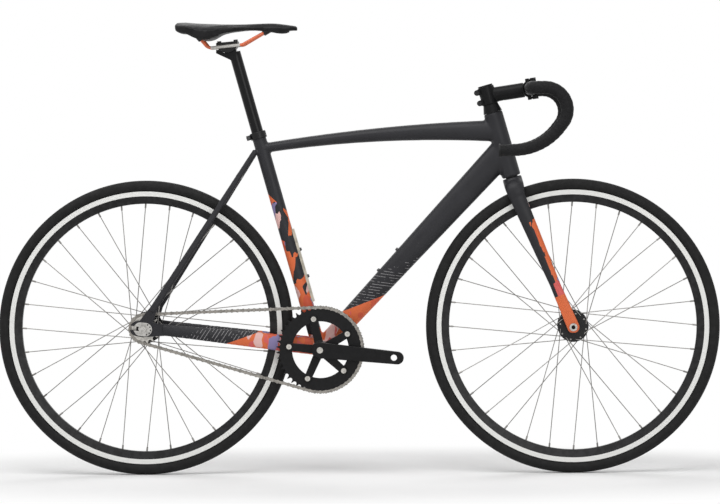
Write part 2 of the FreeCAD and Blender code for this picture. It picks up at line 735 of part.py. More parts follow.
def seat_collar():
    low = seat_point(SEAT_TUBE_LENGTH - COLLAR_TUBE_GRIP)
    lip = seat_point(SEAT_TUBE_LENGTH)
    high = low + SEAT_UP * COLLAR_HEIGHT
    width = 2 * COLLAR_EAR_THICKNESS + COLLAR_SLIT
    ear = block(collar_ear_centre() + SEAT_AHEAD * COLLAR_WALL, SEAT_AHEAD, SIDE, SEAT_UP,
                COLLAR_EAR_LENGTH + COLLAR_WALL * 2, width, COLLAR_EAR_HEIGHT)
    collar = rod(low, high, SEAT_TUBE_RADIUS + COLLAR_WALL).fuse(ear)
    collar = collar.cut(rod(low, lip, SEAT_TUBE_RADIUS)).cut(rod(lip, high, SEATPOST_RADIUS + FIT))
    slit_reach = COLLAR_EAR_LENGTH + COLLAR_WALL * 3
    slit = block(collar_ear_centre(), SEAT_AHEAD, SIDE, SEAT_UP, slit_reach * 2, COLLAR_SLIT,
                 COLLAR_HEIGHT * 2)
    collar = collar.cut(slit)
    bolt_hole = cross_rod(collar_ear_centre(), -width, width, BOTTLE_BOLT_RADIUS)
    for neighbour in (top_tube(), seatstay(LEFT), seatstay(RIGHT)):
        collar = collar.cut(neighbour)
    return largest_solid(collar.cut(bolt_hole))


def button_bolt(face, outward, depth):
    """A low round head on a face, with its shank below and a hex socket in the head."""
    shank = rod(face - outward * depth, face, BOTTLE_BOLT_RADIUS)
    head = Part.makeCone(BOTTLE_BOLT_HEAD_RADIUS, BOTTLE_BOLT_HEAD_RADIUS * BOLT_HEAD_TAPER,
                         BOTTLE_BOLT_HEAD_HEIGHT, face, outward)
    socket = rod(face + outward * (BOTTLE_BOLT_HEAD_HEIGHT / 2),
                 face + outward * BOTTLE_BOLT_HEAD_HEIGHT, BOTTLE_BOLT_RADIUS * BOLT_HEAD_TAPER)
    return shank.fuse(head).cut(socket)


def frame_bolts():
    bolts = []
    for step in range(2):
        face, above = down_boss_point(step)
        bolts.append(button_bolt(face, above, BOTTLE_BOLT_DEPTH - CUT_MARGIN))
        strip_face = seat_boss_point(step) + SEAT_AHEAD * STRIP_THICKNESS
        bolts.append(button_bolt(strip_face, SEAT_AHEAD, STRIP_THICKNESS + TUBE_WALL))
    centre = collar_ear_centre()
    half = COLLAR_EAR_THICKNESS + COLLAR_SLIT / 2
    collar_bolt = cross_rod(centre, -half, half, BOTTLE_BOLT_RADIUS)
    for side in (LEFT, RIGHT):
        end = side * (half + BOTTLE_BOLT_HEAD_HEIGHT)
        collar_bolt = collar_bolt.fuse(cross_rod(centre, side * half, end, BOTTLE_BOLT_HEAD_RADIUS))
    bolts.append(collar_bolt)
    return bolts


def seat_tube_strip():
    """A slim rail bolted to the front of the seat tube over its two bosses."""
    low = seat_point(SEAT_BOSS_HEIGHT - STRIP_BELOW)
    centre = low + SEAT_UP * (STRIP_LENGTH / 2)
    middle = centre + SEAT_AHEAD * (SEAT_TUBE_RADIUS + STRIP_THICKNESS / 2 - STRIP_SINK)
    strip = block(middle, SEAT_AHEAD, SIDE, SEAT_UP, STRIP_THICKNESS + STRIP_SINK * 2, STRIP_WIDTH,
                  STRIP_LENGTH)
    strip = strip.cut(seat_tube_core())
    for step in range(2):
        face = seat_boss_point(step)
        reach = SEAT_AHEAD * STRIP_THICKNESS
        strip = strip.cut(rod(face - reach, face + reach, BOTTLE_BOLT_RADIUS))
    return largest_solid(strip.cut(down_tube_core()).cut(shell_core()))


def headset_bearings():
    bore = STEERER_RADIUS + FIT
    outer = HEAD_TUBE_RADIUS - HEAD_TUBE_WALL
    lower = pipe(steer_point(HEAD_LOW), steer_point(HEAD_LOW + BEARING_HEIGHT), outer, bore)
    upper = pipe(steer_point(HEAD_HIGH - BEARING_HEIGHT), steer_point(HEAD_HIGH), outer, bore)
    return [lower, upper]


def bottom_bracket_cups():
    cups = []
    half = SHELL_WIDTH / 2
    for side in (LEFT, RIGHT):
        flange = cross_rod(BRACKET, side * half, side * (half + CUP_FLANGE), CUP_FLANGE_RADIUS)
        barrel = cross_rod(BRACKET, side * (half - CUP_DEPTH), side * half, SHELL_BORE)
        bore = cross_rod(BRACKET, side * (half - CUP_DEPTH), side * (half + CUP_FLANGE),
                         SPINDLE_RADIUS + FIT)
        cups.append(flange.fuse(barrel).cut(bore))
    return cups


# Fork and headset

def blade_top(side):
    """The middle of the oval where a fork blade joins the crown."""
    return steer_point(CROWN_SEAT - CROWN_LEG_DROP) + SIDE * (side * CROWN_LEG_OFFSET)


def blade_tip(side):
    return FRONT_AXLE + SIDE * (side * (FRONT_HUB_WIDTH / 2 + BLADE_TIP_WIDTH / 2))


def blade_chord():
    run = FRONT_AXLE - blade_top(LEFT)
    down = V(run.x, 0, run.z).normalize()
    return V(-down.z, 0, down.x)


def crown_core():
    """An arch from one blade to the other, with a round neck under the lower bearing."""
    shoulder_drop = CROWN_DEPTH / 2 + BLADE_TOP_WIDTH / 4
    shoulder_offset = CROWN_LEG_OFFSET * CROWN_SHOULDER_SHARE
    half_chord = CROWN_CHORD / 2
    leg_half = BLADE_TOP_WIDTH / 2
    stations = []
    for side in (LEFT, RIGHT):
        leg = (blade_top(side), blade_chord(), BLADE_TOP_CHORD / 2, SIDE * side, leg_half)
        corner = steer_point(CROWN_SEAT - shoulder_drop) + SIDE * (side * shoulder_offset)
        outward = (SIDE * side + STEER_UP).normalize()
        shoulder = (corner, STEER_AHEAD, half_chord, outward, (leg_half + CROWN_DEPTH / 2) / 2)
        stations.append([leg, shoulder])
    middle = (steer_point(CROWN_SEAT - CROWN_DEPTH / 2), STEER_AHEAD, half_chord, STEER_UP,
              CROWN_DEPTH / 2)
    left, right = stations
    arch = oval_loft(left + [middle] + right[::-1])
    neck = rod(steer_point(CROWN_SEAT - CROWN_NECK), steer_point(CROWN_SEAT), HEAD_TUBE_RADIUS)
    return arch.fuse(neck)


def steerer_low():
    return CROWN_SEAT - CROWN_DEPTH + STEERER_FLOOR


def fork_crown():
    bore = rod(steer_point(steerer_low()), steer_point(HEAD_LOW), STEERER_RADIUS)
    return largest_solid(crown_core().cut(bore))


def fork_steerer():
    return pipe(steer_point(steerer_low()), steer_point(STEM_HIGH), STEERER_RADIUS,
                STEERER_RADIUS - STEERER_WALL)


def fork_blade(side):
    """One straight tapering blade with the flat eye that holds the axle."""
    top = blade_top(side)
    tip = blade_tip(side)
    stations = []
    for step in range(BLADE_STEPS + 1):
        share = step / BLADE_STEPS
        chord = BLADE_TOP_CHORD + (BLADE_TIP_CHORD - BLADE_TOP_CHORD) * share
        width = BLADE_TOP_WIDTH + (BLADE_TIP_WIDTH - BLADE_TOP_WIDTH) * share
        stations.append((top + (tip - top) * share, blade_chord(), chord / 2, SIDE, width / 2))
    inner = side * FRONT_HUB_WIDTH / 2
    outer = side * (FRONT_HUB_WIDTH / 2 + BLADE_TIP_WIDTH)
    eye = cross_rod(FRONT_AXLE, inner, outer, TIP_EYE_RADIUS)
    below = FRONT_AXLE - UP * (TIP_EYE_RADIUS * 2)
    slot_half = FRONT_AXLE_RADIUS + FIT
    slot = flat_hull(FRONT_AXLE, below, slot_half, slot_half - FIT, inner - side * CUT_MARGIN,
                     outer + side * CUT_MARGIN)
    blade = plugged_tube(stations, TUBE_WALL, BLADE_PLUG).fuse(eye).cut(slot)
    hub_room = cross_rod(FRONT_AXLE, 0, inner, TIP_EYE_RADIUS * 2)
    bolt_room = cross_rod(FRONT_AXLE, outer, outer + side * BLADE_TOP_WIDTH, TIP_EYE_RADIUS)
    return largest_solid(blade.cut(hub_room).cut(bolt_room))


def front_axle():
    half = FRONT_HUB_WIDTH / 2 + BLADE_TIP_WIDTH
    axle = cross_rod(FRONT_AXLE, -half, half, FRONT_AXLE_RADIUS)
    for side in (LEFT, RIGHT):
        outer = side * FRONT_HUB_WIDTH / 2
        nut = cross_rod(FRONT_AXLE, outer - side * LOCKNUT_THICKNESS, outer, AXLE_NUT_FLATS / 2)
        axle = axle.fuse(nut)
    return axle


def front_axle_bolts():
    bolts = []
    for side in (LEFT, RIGHT):
        face = side * (FRONT_HUB_WIDTH / 2 + BLADE_TIP_WIDTH)
        end = face + side * FRONT_BOLT_HEAD_HEIGHT
        head = cross_rod(FRONT_AXLE, face, end, FRONT_BOLT_HEAD_RADIUS)
        socket = hex_prism(FRONT_AXLE, face + side * FRONT_BOLT_HEAD_HEIGHT / 3, end,
                           BOLT_SOCKET_FLATS)
        bolts.append(head.cut(socket))
    return bolts


def headset_cover():
    start = steer_point(HEAD_HIGH + CLEAR)
    cone = Part.makeCone(HEAD_TUBE_RADIUS, HEADSET_COVER_TOP_RADIUS, HEADSET_COVER_HEIGHT - CLEAR,
                         start, STEER_UP)
    return cone.cut(rod(start, steer_point(COVER_HIGH), STEERER_RADIUS))


# Stem and bar

def stem_ear_middle():
    return STEM_MIDDLE - STEER_AHEAD * STEM_EAR_REACH


def bar_clamp_ring():
    """The whole clamp around the bar, before it is split into stem and faceplate."""
    half = BAR_CLAMP_WIDTH / 2
    radius = BAR_CLAMP_RADIUS + BAR_CLAMP_WALL
    lugs = block(BAR_CENTRE, STEM_AHEAD, SIDE, STEM_ABOVE, CLAMP_LUG_DEPTH * 2, BAR_CLAMP_WIDTH,
                 2 * (radius + CLAMP_LUG_HEIGHT))
    ring = cross_rod(BAR_CENTRE, -half, half, radius).fuse(lugs)
    return ring


def clamp_bolt_lines():
    """Start and end of the four bolts that pull the faceplate to the stem."""
    lines = []
    rise = BAR_CLAMP_RADIUS + BAR_CLAMP_WALL
    for high in (1, -1):
        for side in (LEFT, RIGHT):
            middle = BAR_CENTRE + STEM_ABOVE * (high * rise) + SIDE * (side * CLAMP_BOLT_SPREAD)
            lines.append((middle - STEM_AHEAD * CLAMP_LUG_DEPTH, middle + STEM_AHEAD * CLAMP_LUG_DEPTH))
    return lines


def half_space(ahead):
    """A large block on one side of the clamp split, clear of it by half the clamp gap."""
    size = SPLIT_BLOCK_SCALE * (BAR_CLAMP_RADIUS + BAR_CLAMP_WALL + CLAMP_LUG_HEIGHT)
    middle = BAR_CENTRE + STEM_AHEAD * (ahead * (size / 2 - CLAMP_GAP / 2))
    return block(middle, STEM_AHEAD, SIDE, STEM_ABOVE, size, size, size)


def bored_clamp(shape):
    half = BAR_CLAMP_WIDTH
    shape = shape.cut(cross_rod(BAR_CENTRE, -half, half, BAR_CLAMP_RADIUS + FIT))
    for start, end in clamp_bolt_lines():
        seat_end = end + STEM_AHEAD * CLAMP_BOLT_HEAD_HEIGHT
        shape = shape.cut(rod(start, end, CLAMP_BOLT_RADIUS))
        shape = shape.cut(rod(end, seat_end, CLAMP_BOLT_HEAD_RADIUS))
    return shape


def stem():
    """Steerer clamp with two ears behind, tapering arm, and the rear half of the bar clamp."""
    sleeve = rod(steer_point(COVER_HIGH), steer_point(STEM_HIGH), STEERER_RADIUS + STEM_WALL)
    ear_length = STEM_EAR_REACH + STEM_EAR_RADIUS
    ears = []
    for start, end in steerer_bolt_lines():
        middle = (start + end) * 0.5
        ears.append(flat_hull(middle, middle + STEER_AHEAD * STEM_EAR_REACH, STEM_EAR_RADIUS,
                              STEM_EAR_RADIUS, -STEM_EAR_WIDTH / 2, STEM_EAR_WIDTH / 2))
    clamp_back = STEM_REACH - BAR_CLAMP_RADIUS
    arm = oval_loft([(STEM_MIDDLE + STEM_AHEAD * reach, SIDE, STEM_HALF_WIDTH, STEM_ABOVE,
                      STEM_HALF_HEIGHT) for reach in (0, clamp_back)])
    body = sleeve.fuse(ears + [arm, bar_clamp_ring()])
    body = body.cut(rod(steer_point(COVER_HIGH), steer_point(STEM_HIGH), STEERER_RADIUS))
    slit = block(STEM_MIDDLE - STEER_AHEAD * ear_length, STEER_AHEAD, SIDE, STEER_UP, ear_length * 2,
                 CLAMP_GAP, STEM_CLAMP_HEIGHT * 2)
    body = bored_clamp(body.cut(slit)).cut(half_space(1))
    for start, end in steerer_bolt_lines():
        body = body.cut(rod(start, end, CLAMP_BOLT_RADIUS))
    above = rod(steer_point(STEM_HIGH), steer_point(STEM_HIGH + STEM_CLAMP_HEIGHT), STEM_REACH / 2)
    below = rod(steer_point(HEAD_HIGH), steer_point(COVER_HIGH), STEM_REACH / 3)
    return largest_solid(body.cut(above).cut(below))


def steerer_bolt_lines():
    lines = []
    for high in (1, -1):
        middle = stem_ear_middle() + STEER_UP * (high * STEM_CLAMP_HEIGHT * STEM_BOLT_SHARE)
        reach = SIDE * (STEM_EAR_WIDTH / 2)
        lines.append((middle + reach, middle - reach))
    return lines


def stem_faceplate():
    return largest_solid(bored_clamp(bar_clamp_ring()).cut(half_space(-1)))


def socket_bolt(start, end, shank_radius, head_radius, head_height):
    """A bolt from its tip to under its head, with a round head and a hollow socket."""
    outward = (end - start).normalize()
    head = rod(end, end + outward * head_height, head_radius)
    socket = rod(end + outward * (head_height / 3), end + outward * head_height, shank_radius)
    return rod(start, end, shank_radius).fuse(head).cut(socket)


def stem_bolts():
    bolts = []
    for start, end in clamp_bolt_lines() + steerer_bolt_lines():
        bolts.append(socket_bolt(start, end, CLAMP_BOLT_RADIUS, CLAMP_BOLT_HEAD_RADIUS,
                                 CLAMP_BOLT_HEAD_HEIGHT))
    cap_low = steer_point(STEM_HIGH - STEM_CLAMP_HEIGHT / 2)
    cap_face = steer_point(STEM_HIGH + TOP_CAP_HEIGHT / 2)
    bolts.append(socket_bolt(cap_low, cap_face, CLAMP_BOLT_RADIUS, CLAMP_BOLT_HEAD_RADIUS,
                             TOP_CAP_HEIGHT / 2))
    return bolts


def stem_top_cap():
    low = steer_point(STEM_HIGH)
    middle = steer_point(STEM_HIGH + TOP_CAP_HEIGHT / 2)
    high = steer_point(STEM_HIGH + TOP_CAP_HEIGHT)
    cap = rod(low, high, HEADSET_COVER_TOP_RADIUS)
    return cap.cut(rod(low, high, CLAMP_BOLT_RADIUS)).cut(rod(middle, high, CLAMP_BOLT_HEAD_RADIUS))


def bar_corners(side):
    """Corner points of the bar from the middle out: tops, round hook, sloping leg and lower grip."""
    slope = math.radians(BAR_LEG_SLOPE)
    bend_corner = BAR_REACH - BAR_BEND_RADIUS + BAR_BEND_RADIUS / math.tan(slope / 2)
    leg_drop = BAR_DROP - BAR_GRIP_FALL
    across = SIDE * (side * BAR_HALF_WIDTH)
    return [BAR_CENTRE + across,
            BAR_CENTRE + across + V(bend_corner, 0, 0),
            BAR_CENTRE + across + V(bend_corner - leg_drop / math.tan(slope), 0, -leg_drop),
            BAR_CENTRE + across + V(BAR_REACH - BAR_HOOK_LENGTH, 0, -BAR_DROP)]


BAR_RADII = [BAR_CORNER_RADIUS, BAR_BEND_RADIUS, BAR_HOOK_RADIUS]


def handlebar():
    corners = bar_corners(LEFT)[::-1] + bar_corners(RIGHT)
    path = rounded_path(corners, BAR_RADII[::-1] + BAR_RADII)
    bar = swept(path, BAR_RADIUS)
    bar = bar.fuse(cross_rod(BAR_CENTRE, -BAR_BULGE_HALF, BAR_BULGE_HALF, BAR_CLAMP_RADIUS))
    for side in (LEFT, RIGHT):
        start = BAR_CENTRE + SIDE * (side * BAR_BULGE_HALF)
        cone = Part.makeCone(BAR_CLAMP_RADIUS, BAR_RADIUS, BAR_TAPER_HALF - BAR_BULGE_HALF, start,
                             SIDE * side)
        bar = bar.fuse(cone)
    return largest_solid(bar.cut(swept(path, BAR_RADIUS - BAR_WALL)))


def tape_path(side):
    start = BAR_CENTRE + SIDE * (side * TAPE_START)
    return rounded_path([start] + bar_corners(side), BAR_RADII)


def bar_tape():
    wraps = []
    for side in (LEFT, RIGHT):
        path = tape_path(side)
        wraps.append(swept(path, BAR_RADIUS + TAPE_THICKNESS).cut(swept(path, BAR_RADIUS)))
    return wraps


def bar_plugs():
    plugs = []
    for side in (LEFT, RIGHT):
        corners = bar_corners(side)
        outward = (corners[3] - corners[2]).normalize()
        end = corners[3]
        cap = rod(end, end + outward * PLUG_HEIGHT, BAR_RADIUS + TAPE_THICKNESS)
        stopper = rod(end - outward * PLUG_DEPTH, end, BAR_RADIUS - BAR_WALL)
        plugs.append(cap.fuse(stopper))
    return plugs


# Wheels, built about the Y axis and then moved to their axle

def ring_of(points):
    """A solid of revolution about Y from (radius, y) corner points."""
    corners = [V(radius, y, 0) for radius, y in points]
    face = Part.Face(Part.makePolygon(corners + corners[:1]))
    return face.revolve(V(0, 0, 0), SIDE, 360)


def tyre():
    """A round tread and two side walls that go down to the bead inside the rim."""
    centre = WHEEL_RADIUS - TYRE_HALF_WIDTH
    bed = BEAD_SEAT_RADIUS - RIM_BED_DEPTH
    neck = RIM_EDGE_RADIUS + CLEAR

    def arc_points(radius):
        low = centre - radius * math.sin(math.radians(TYRE_SIDE_ANGLE))
        wide = radius * math.cos(math.radians(TYRE_SIDE_ANGLE))
        return V(low, wide, 0), V(centre + radius, 0, 0), V(low, -wide, 0)

    outer_start, outer_top, outer_end = arc_points(TYRE_HALF_WIDTH)
    inner_start, inner_top, inner_end = arc_points(TYRE_HALF_WIDTH - TYRE_WALL)
    bead = RIM_BED_HALF_WIDTH
    inside = RIM_BED_HALF_WIDTH - TYRE_WALL
    runs = [(V(bed, inside, 0), V(bed, bead, 0)), (V(bed, bead, 0), V(neck, bead, 0)),
            (V(neck, bead, 0), outer_start)]
    edges = [Part.LineSegment(*run).toShape() for run in runs]
    edges.append(Part.Arc(outer_start, outer_top, outer_end).toShape())
    runs = [(outer_end, V(neck, -bead, 0)), (V(neck, -bead, 0), V(bed, -bead, 0)),
            (V(bed, -bead, 0), V(bed, -inside, 0)), (V(bed, -inside, 0), V(neck, -inside, 0)),
            (V(neck, -inside, 0), inner_end)]
    edges += [Part.LineSegment(*run).toShape() for run in runs]
    edges.append(Part.Arc(inner_end, inner_top, inner_start).toShape())
    runs = [(inner_start, V(neck, inside, 0)), (V(neck, inside, 0), V(bed, inside, 0))]
    edges += [Part.LineSegment(*run).toShape() for run in runs]
    return Part.Face(Part.Wire(edges)).revolve(V(0, 0, 0), SIDE, 360)


def polar(radius, degrees, y):
    angle = math.radians(degrees)
    return V(radius * math.cos(angle), y, radius * math.sin(angle))


def spoke_ends(flange_offset):
    """Flange hole, leaving point and rim point of each spoke, two flanges of crossed spokes."""
    step = 360.0 / SPOKES_PER_FLANGE
    lead = SPOKE_CROSSES * step
    ends = []
    for side in (LEFT, RIGHT):
        shift = 0 if side == LEFT else step / 2
        for hole in range(SPOKES_PER_FLANGE):
            angle = step * hole + shift
            pull = 1 if hole % 2 == 0 else -1
            face = FLANGE_THICKNESS / 2
            lift = SPOKE_LIFT if pull > 0 else 0
            leave = side * flange_offset + side * pull * (face + SPOKE_RADIUS + lift)
            head = side * flange_offset - side * pull * face
            rim_point = polar(RIM_INNER_RADIUS, angle + pull * lead, side * RIM_STAGGER)
            ends.append((polar(SPOKE_CIRCLE_RADIUS, angle, head),
                         polar(SPOKE_CIRCLE_RADIUS, angle, leave), rim_point, side * pull))
    return ends


def spokes(flange_offset):
    """Each spoke with its bent head end, and its nipple as a solid of its own."""
    pieces = []
    for head, leave, rim_point, outward in spoke_ends(flange_offset):
        ahead = (rim_point - leave).normalize()
        join = rim_point - ahead * (NIPPLE_LENGTH - RIM_WALL)
        cap_end = head - SIDE * (outward * SPOKE_HEAD_HEIGHT)
        spoke = rod(leave, join, SPOKE_RADIUS)
        spoke = spoke.fuse([Part.makeSphere(SPOKE_RADIUS, leave), rod(head, leave, SPOKE_RADIUS),
                            rod(cap_end, head, SPOKE_HEAD_RADIUS)])
        pieces.append(spoke)
        pieces.append(rod(join, join + ahead * NIPPLE_LENGTH, NIPPLE_RADIUS))
    return pieces


def rim(flange_offset):
    """A hollow rim with braking walls, a tyre bed and a nipple hole for each spoke."""
    bed = BEAD_SEAT_RADIUS - RIM_BED_DEPTH
    outline = [(RIM_EDGE_RADIUS, RIM_BED_HALF_WIDTH), (RIM_EDGE_RADIUS, RIM_HALF_WIDTH),
               (RIM_TRACK_LOW_RADIUS, RIM_HALF_WIDTH), (RIM_INNER_RADIUS, RIM_NOSE_HALF_WIDTH),
               (RIM_INNER_RADIUS, -RIM_NOSE_HALF_WIDTH), (RIM_TRACK_LOW_RADIUS, -RIM_HALF_WIDTH),
               (RIM_EDGE_RADIUS, -RIM_HALF_WIDTH), (RIM_EDGE_RADIUS, -RIM_BED_HALF_WIDTH),
               (bed, -RIM_BED_HALF_WIDTH), (bed, RIM_BED_HALF_WIDTH)]
    wide = RIM_HALF_WIDTH - RIM_WALL
    narrow = RIM_NOSE_HALF_WIDTH - RIM_WALL / 2
    hollow = [(bed - RIM_WALL, wide), (RIM_TRACK_LOW_RADIUS, wide),
              (RIM_INNER_RADIUS + RIM_WALL, narrow), (RIM_INNER_RADIUS + RIM_WALL, -narrow),
              (RIM_TRACK_LOW_RADIUS, -wide), (bed - RIM_WALL, -wide)]
    body = ring_of(outline).cut(ring_of(hollow))
    holes = []
    for head, leave, rim_point, outward in spoke_ends(flange_offset):
        ahead = (rim_point - leave).normalize()
        holes.append(rod(rim_point - ahead * RIM_WALL, rim_point + ahead * (RIM_WALL * 2),
                         NIPPLE_RADIUS))
    return body.cut(Part.makeCompound(holes))


def hub(flange_offset, half, sprocket_boss):
    """A high flange hub with a barrel, two drilled flanges and, on a driven hub, a thread."""
    barrel = cross_rod(V(0, 0, 0), -half, half, HUB_BARREL_RADIUS)
    body = barrel
    thick = FLANGE_THICKNESS / 2
    for side in (LEFT, RIGHT):
        flange = cross_rod(V(0, 0, 0), side * flange_offset - thick, side * flange_offset + thick,
                           FLANGE_RADIUS)
        body = body.fuse(flange)
    if sprocket_boss:
        seat = CHAINLINE - RING_THICKNESS / 2
        end = CHAINLINE + RING_THICKNESS / 2 + LOCKRING_THICKNESS
        body = body.fuse([cross_rod(V(0, 0, 0), -end, -flange_offset, HUB_THREAD_RADIUS),
                          cross_rod(V(0, 0, 0), -seat, -flange_offset, LOCKRING_RADIUS)])
    body = body.cut(cross_rod(V(0, 0, 0), -half, half, HUB_BEARING_RADIUS))
    holes = []
    for head, leave, rim_point, outward in spoke_ends(flange_offset):
        holes.append(rod(head, V(leave.x, head.y + outward * FLANGE_THICKNESS, leave.z),
                         SPOKE_RADIUS + SPOKE_HOLE_CLEARANCE))
    return body.cut(Part.makeCompound(holes))


def hub_bearings(half, axle_radius):
    pair = []
    for side in (LEFT, RIGHT):
        pair.append(cross_pipe(V(0, 0, 0), side * (half - HUB_BEARING_WIDTH), side * half,
                               HUB_BEARING_RADIUS, axle_radius + FIT))
    return pair


def moved(shapes, place):
    copies = []
    for shape in shapes:
        copy = shape.copy()
        copy.translate(place)
        copies.append(copy)
    return copies


# Chain drive

def pitch_radius(teeth):
    return CHAIN_PITCH / (2 * math.sin(math.pi / teeth))


def chain_points():
    """Pin centres around both toothed rings, evenly spaced so that the loop closes."""
    ring = pitch_radius(RING_TEETH)
    cog = pitch_radius(SPROCKET_TEETH)
    run = BRACKET - REAR_AXLE
    heading = math.atan2(run.z, run.x)
    spread = math.asin((ring - cog) / run.Length)
    straight = math.sqrt(run.Length ** 2 - (ring - cog) ** 2)
    upper = heading + math.pi / 2 + spread
    lower = heading - math.pi / 2 - spread
    ring_step = 2 * math.pi / RING_TEETH
    cog_step = 2 * math.pi / SPROCKET_TEETH
    spans = [straight / CHAIN_PITCH, (upper - lower) / ring_step, straight / CHAIN_PITCH,
             (2 * math.pi - upper + lower) / cog_step]
    count = round(sum(spans))

    def on_circle(centre, radius, angle):
        return V(centre.x + radius * math.cos(angle), -CHAINLINE, centre.z + radius * math.sin(angle))

    points = []
    for link in range(count):
        reach = link * sum(spans) / count
        if reach < spans[0]:
            start = on_circle(REAR_AXLE, cog, upper)
            end = on_circle(BRACKET, ring, upper)
            points.append((start + (end - start) * (reach / spans[0]), None))
            continue
        reach -= spans[0]
        if reach < spans[1]:
            angle = upper - reach * ring_step
            points.append((on_circle(BRACKET, ring, angle), ("ring", angle)))
            continue
        reach -= spans[1]
        if reach < spans[2]:
            start = on_circle(BRACKET, ring, lower)
            end = on_circle(REAR_AXLE, cog, lower)
            points.append((start + (end - start) * (reach / spans[2]), None))
            continue
        angle = lower - (reach - spans[2]) * cog_step
        points.append((on_circle(REAR_AXLE, cog, angle), ("cog", angle)))
    return points


def mesh_angle(part):
    """The angle of the middle pin that lies on one toothed ring, for its tooth gaps."""
    angles = [seat[1] for point, seat in chain_points() if seat and seat[0] == part]
    return angles[len(angles) // 2]


def link_plate(length, y_start, y_end, bore):
    """A figure-eight side plate between two pins, the first at the origin."""
    near = V(0, 0, 0)
    far = V(length, 0, 0)
    plate = cross_rod(near, y_start, y_end, CHAIN_PLATE_END_RADIUS)
    waist = block(V(length / 2, (y_start + y_end) / 2, 0), V(1, 0, 0), SIDE, UP, length,
                  abs(y_end - y_start), CHAIN_PLATE_WAIST * 2)
    plate = plate.fuse([cross_rod(far, y_start, y_end, CHAIN_PLATE_END_RADIUS), waist])
    for centre in (near, far):
        plate = plate.cut(cross_rod(centre, y_start, y_end, bore))
    return plate


def inner_link():
    """Two inner plates on two hollow rollers."""
    half = CHAIN_INNER_GAP / 2
    pieces = []
    for side in (LEFT, RIGHT):
        pieces.append(link_plate(CHAIN_PITCH, side * half, side * (half + CHAIN_PLATE),
                                 CHAIN_BORE_RADIUS))
    for centre in (V(0, 0, 0), V(CHAIN_PITCH, 0, 0)):
        pieces.append(cross_pipe(centre, -half, half, CHAIN_ROLLER_RADIUS, CHAIN_BORE_RADIUS))
    return pieces[0].fuse(pieces[1:])


def outer_link():
    """Two outer plates on two pins that stand a little proud."""
    inside = CHAIN_INNER_GAP / 2 + CHAIN_PLATE + CHAIN_PLATE_GAP
    outside = inside + CHAIN_PLATE
    pieces = []
    for side in (LEFT, RIGHT):
        pieces.append(link_plate(CHAIN_PITCH, side * inside, side * outside, CHAIN_PIN_RADIUS))
    for centre in (V(0, 0, 0), V(CHAIN_PITCH, 0, 0)):
        end = outside + CHAIN_PIN_PROUD
        pieces.append(cross_rod(centre, -end, end, CHAIN_PIN_RADIUS))
    return pieces[0].fuse(pieces[1:])


def half_link():
    """A cranked link, narrow inside one neighbour at its start and wide over the other."""
    inner = CHAIN_INNER_GAP / 2
    outer = inner + CHAIN_PLATE + CHAIN_PLATE_GAP
    near = V(0, 0, 0)
    far = V(CHAIN_PITCH, 0, 0)
    bend = CHAIN_PITCH / 2
    pieces = []
    for side in (LEFT, RIGHT):
        narrow = cross_rod(near, side * inner, side * (inner + CHAIN_PLATE), CHAIN_PLATE_END_RADIUS)
        wide = cross_rod(far, side * outer, side * (outer + CHAIN_PLATE), CHAIN_PLATE_END_RADIUS)
        corners = [(0, inner), (bend - CHAIN_PLATE, inner), (bend + CHAIN_PLATE, outer),
                   (CHAIN_PITCH, outer), (CHAIN_PITCH, outer + CHAIN_PLATE),
                   (bend + CHAIN_PLATE, outer + CHAIN_PLATE),
                   (bend - CHAIN_PLATE, inner + CHAIN_PLATE), (0, inner + CHAIN_PLATE)]
        outline = [V(x, side * y, -CHAIN_PLATE_WAIST) for x, y in corners]
        strip = Part.Face(Part.makePolygon(outline + outline[:1])).extrude(UP * (CHAIN_PLATE_WAIST * 2))
        plate = strip.fuse([narrow, wide])
        pieces.append(plate.cut(cross_rod(near, side * inner, side * (inner + CHAIN_PLATE),
                                          CHAIN_BORE_RADIUS)))
    end = outer + CHAIN_PLATE + CHAIN_PIN_PROUD
    pieces.append(cross_rod(far, -end, end, CHAIN_PIN_RADIUS))
    pieces.append(cross_pipe(near, -inner, inner, CHAIN_ROLLER_RADIUS, CHAIN_BORE_RADIUS))
    return pieces[0].fuse(pieces[1:])


def chain():
    """Inner and outer links in turn, with one cranked half link when their number is odd."""
    points = [point for point, seat in chain_points()]
    shapes = [inner_link(), outer_link()]
    links = []
    for index, start in enumerate(points):
        end = points[(index + 1) % len(points)]
        odd_one = len(points) % 2 == 1 and index == len(points) - 1
        link = half_link() if odd_one else shapes[index % 2].copy()
        run = end - start
        angle = math.degrees(math.atan2(run.z, run.x))
        slack = (run.Length - CHAIN_PITCH) / 2
        link.rotate(V(0, 0, 0), SIDE, -angle)
        link.translate(start + run.normalize() * slack)
        links.append(link)
    return links


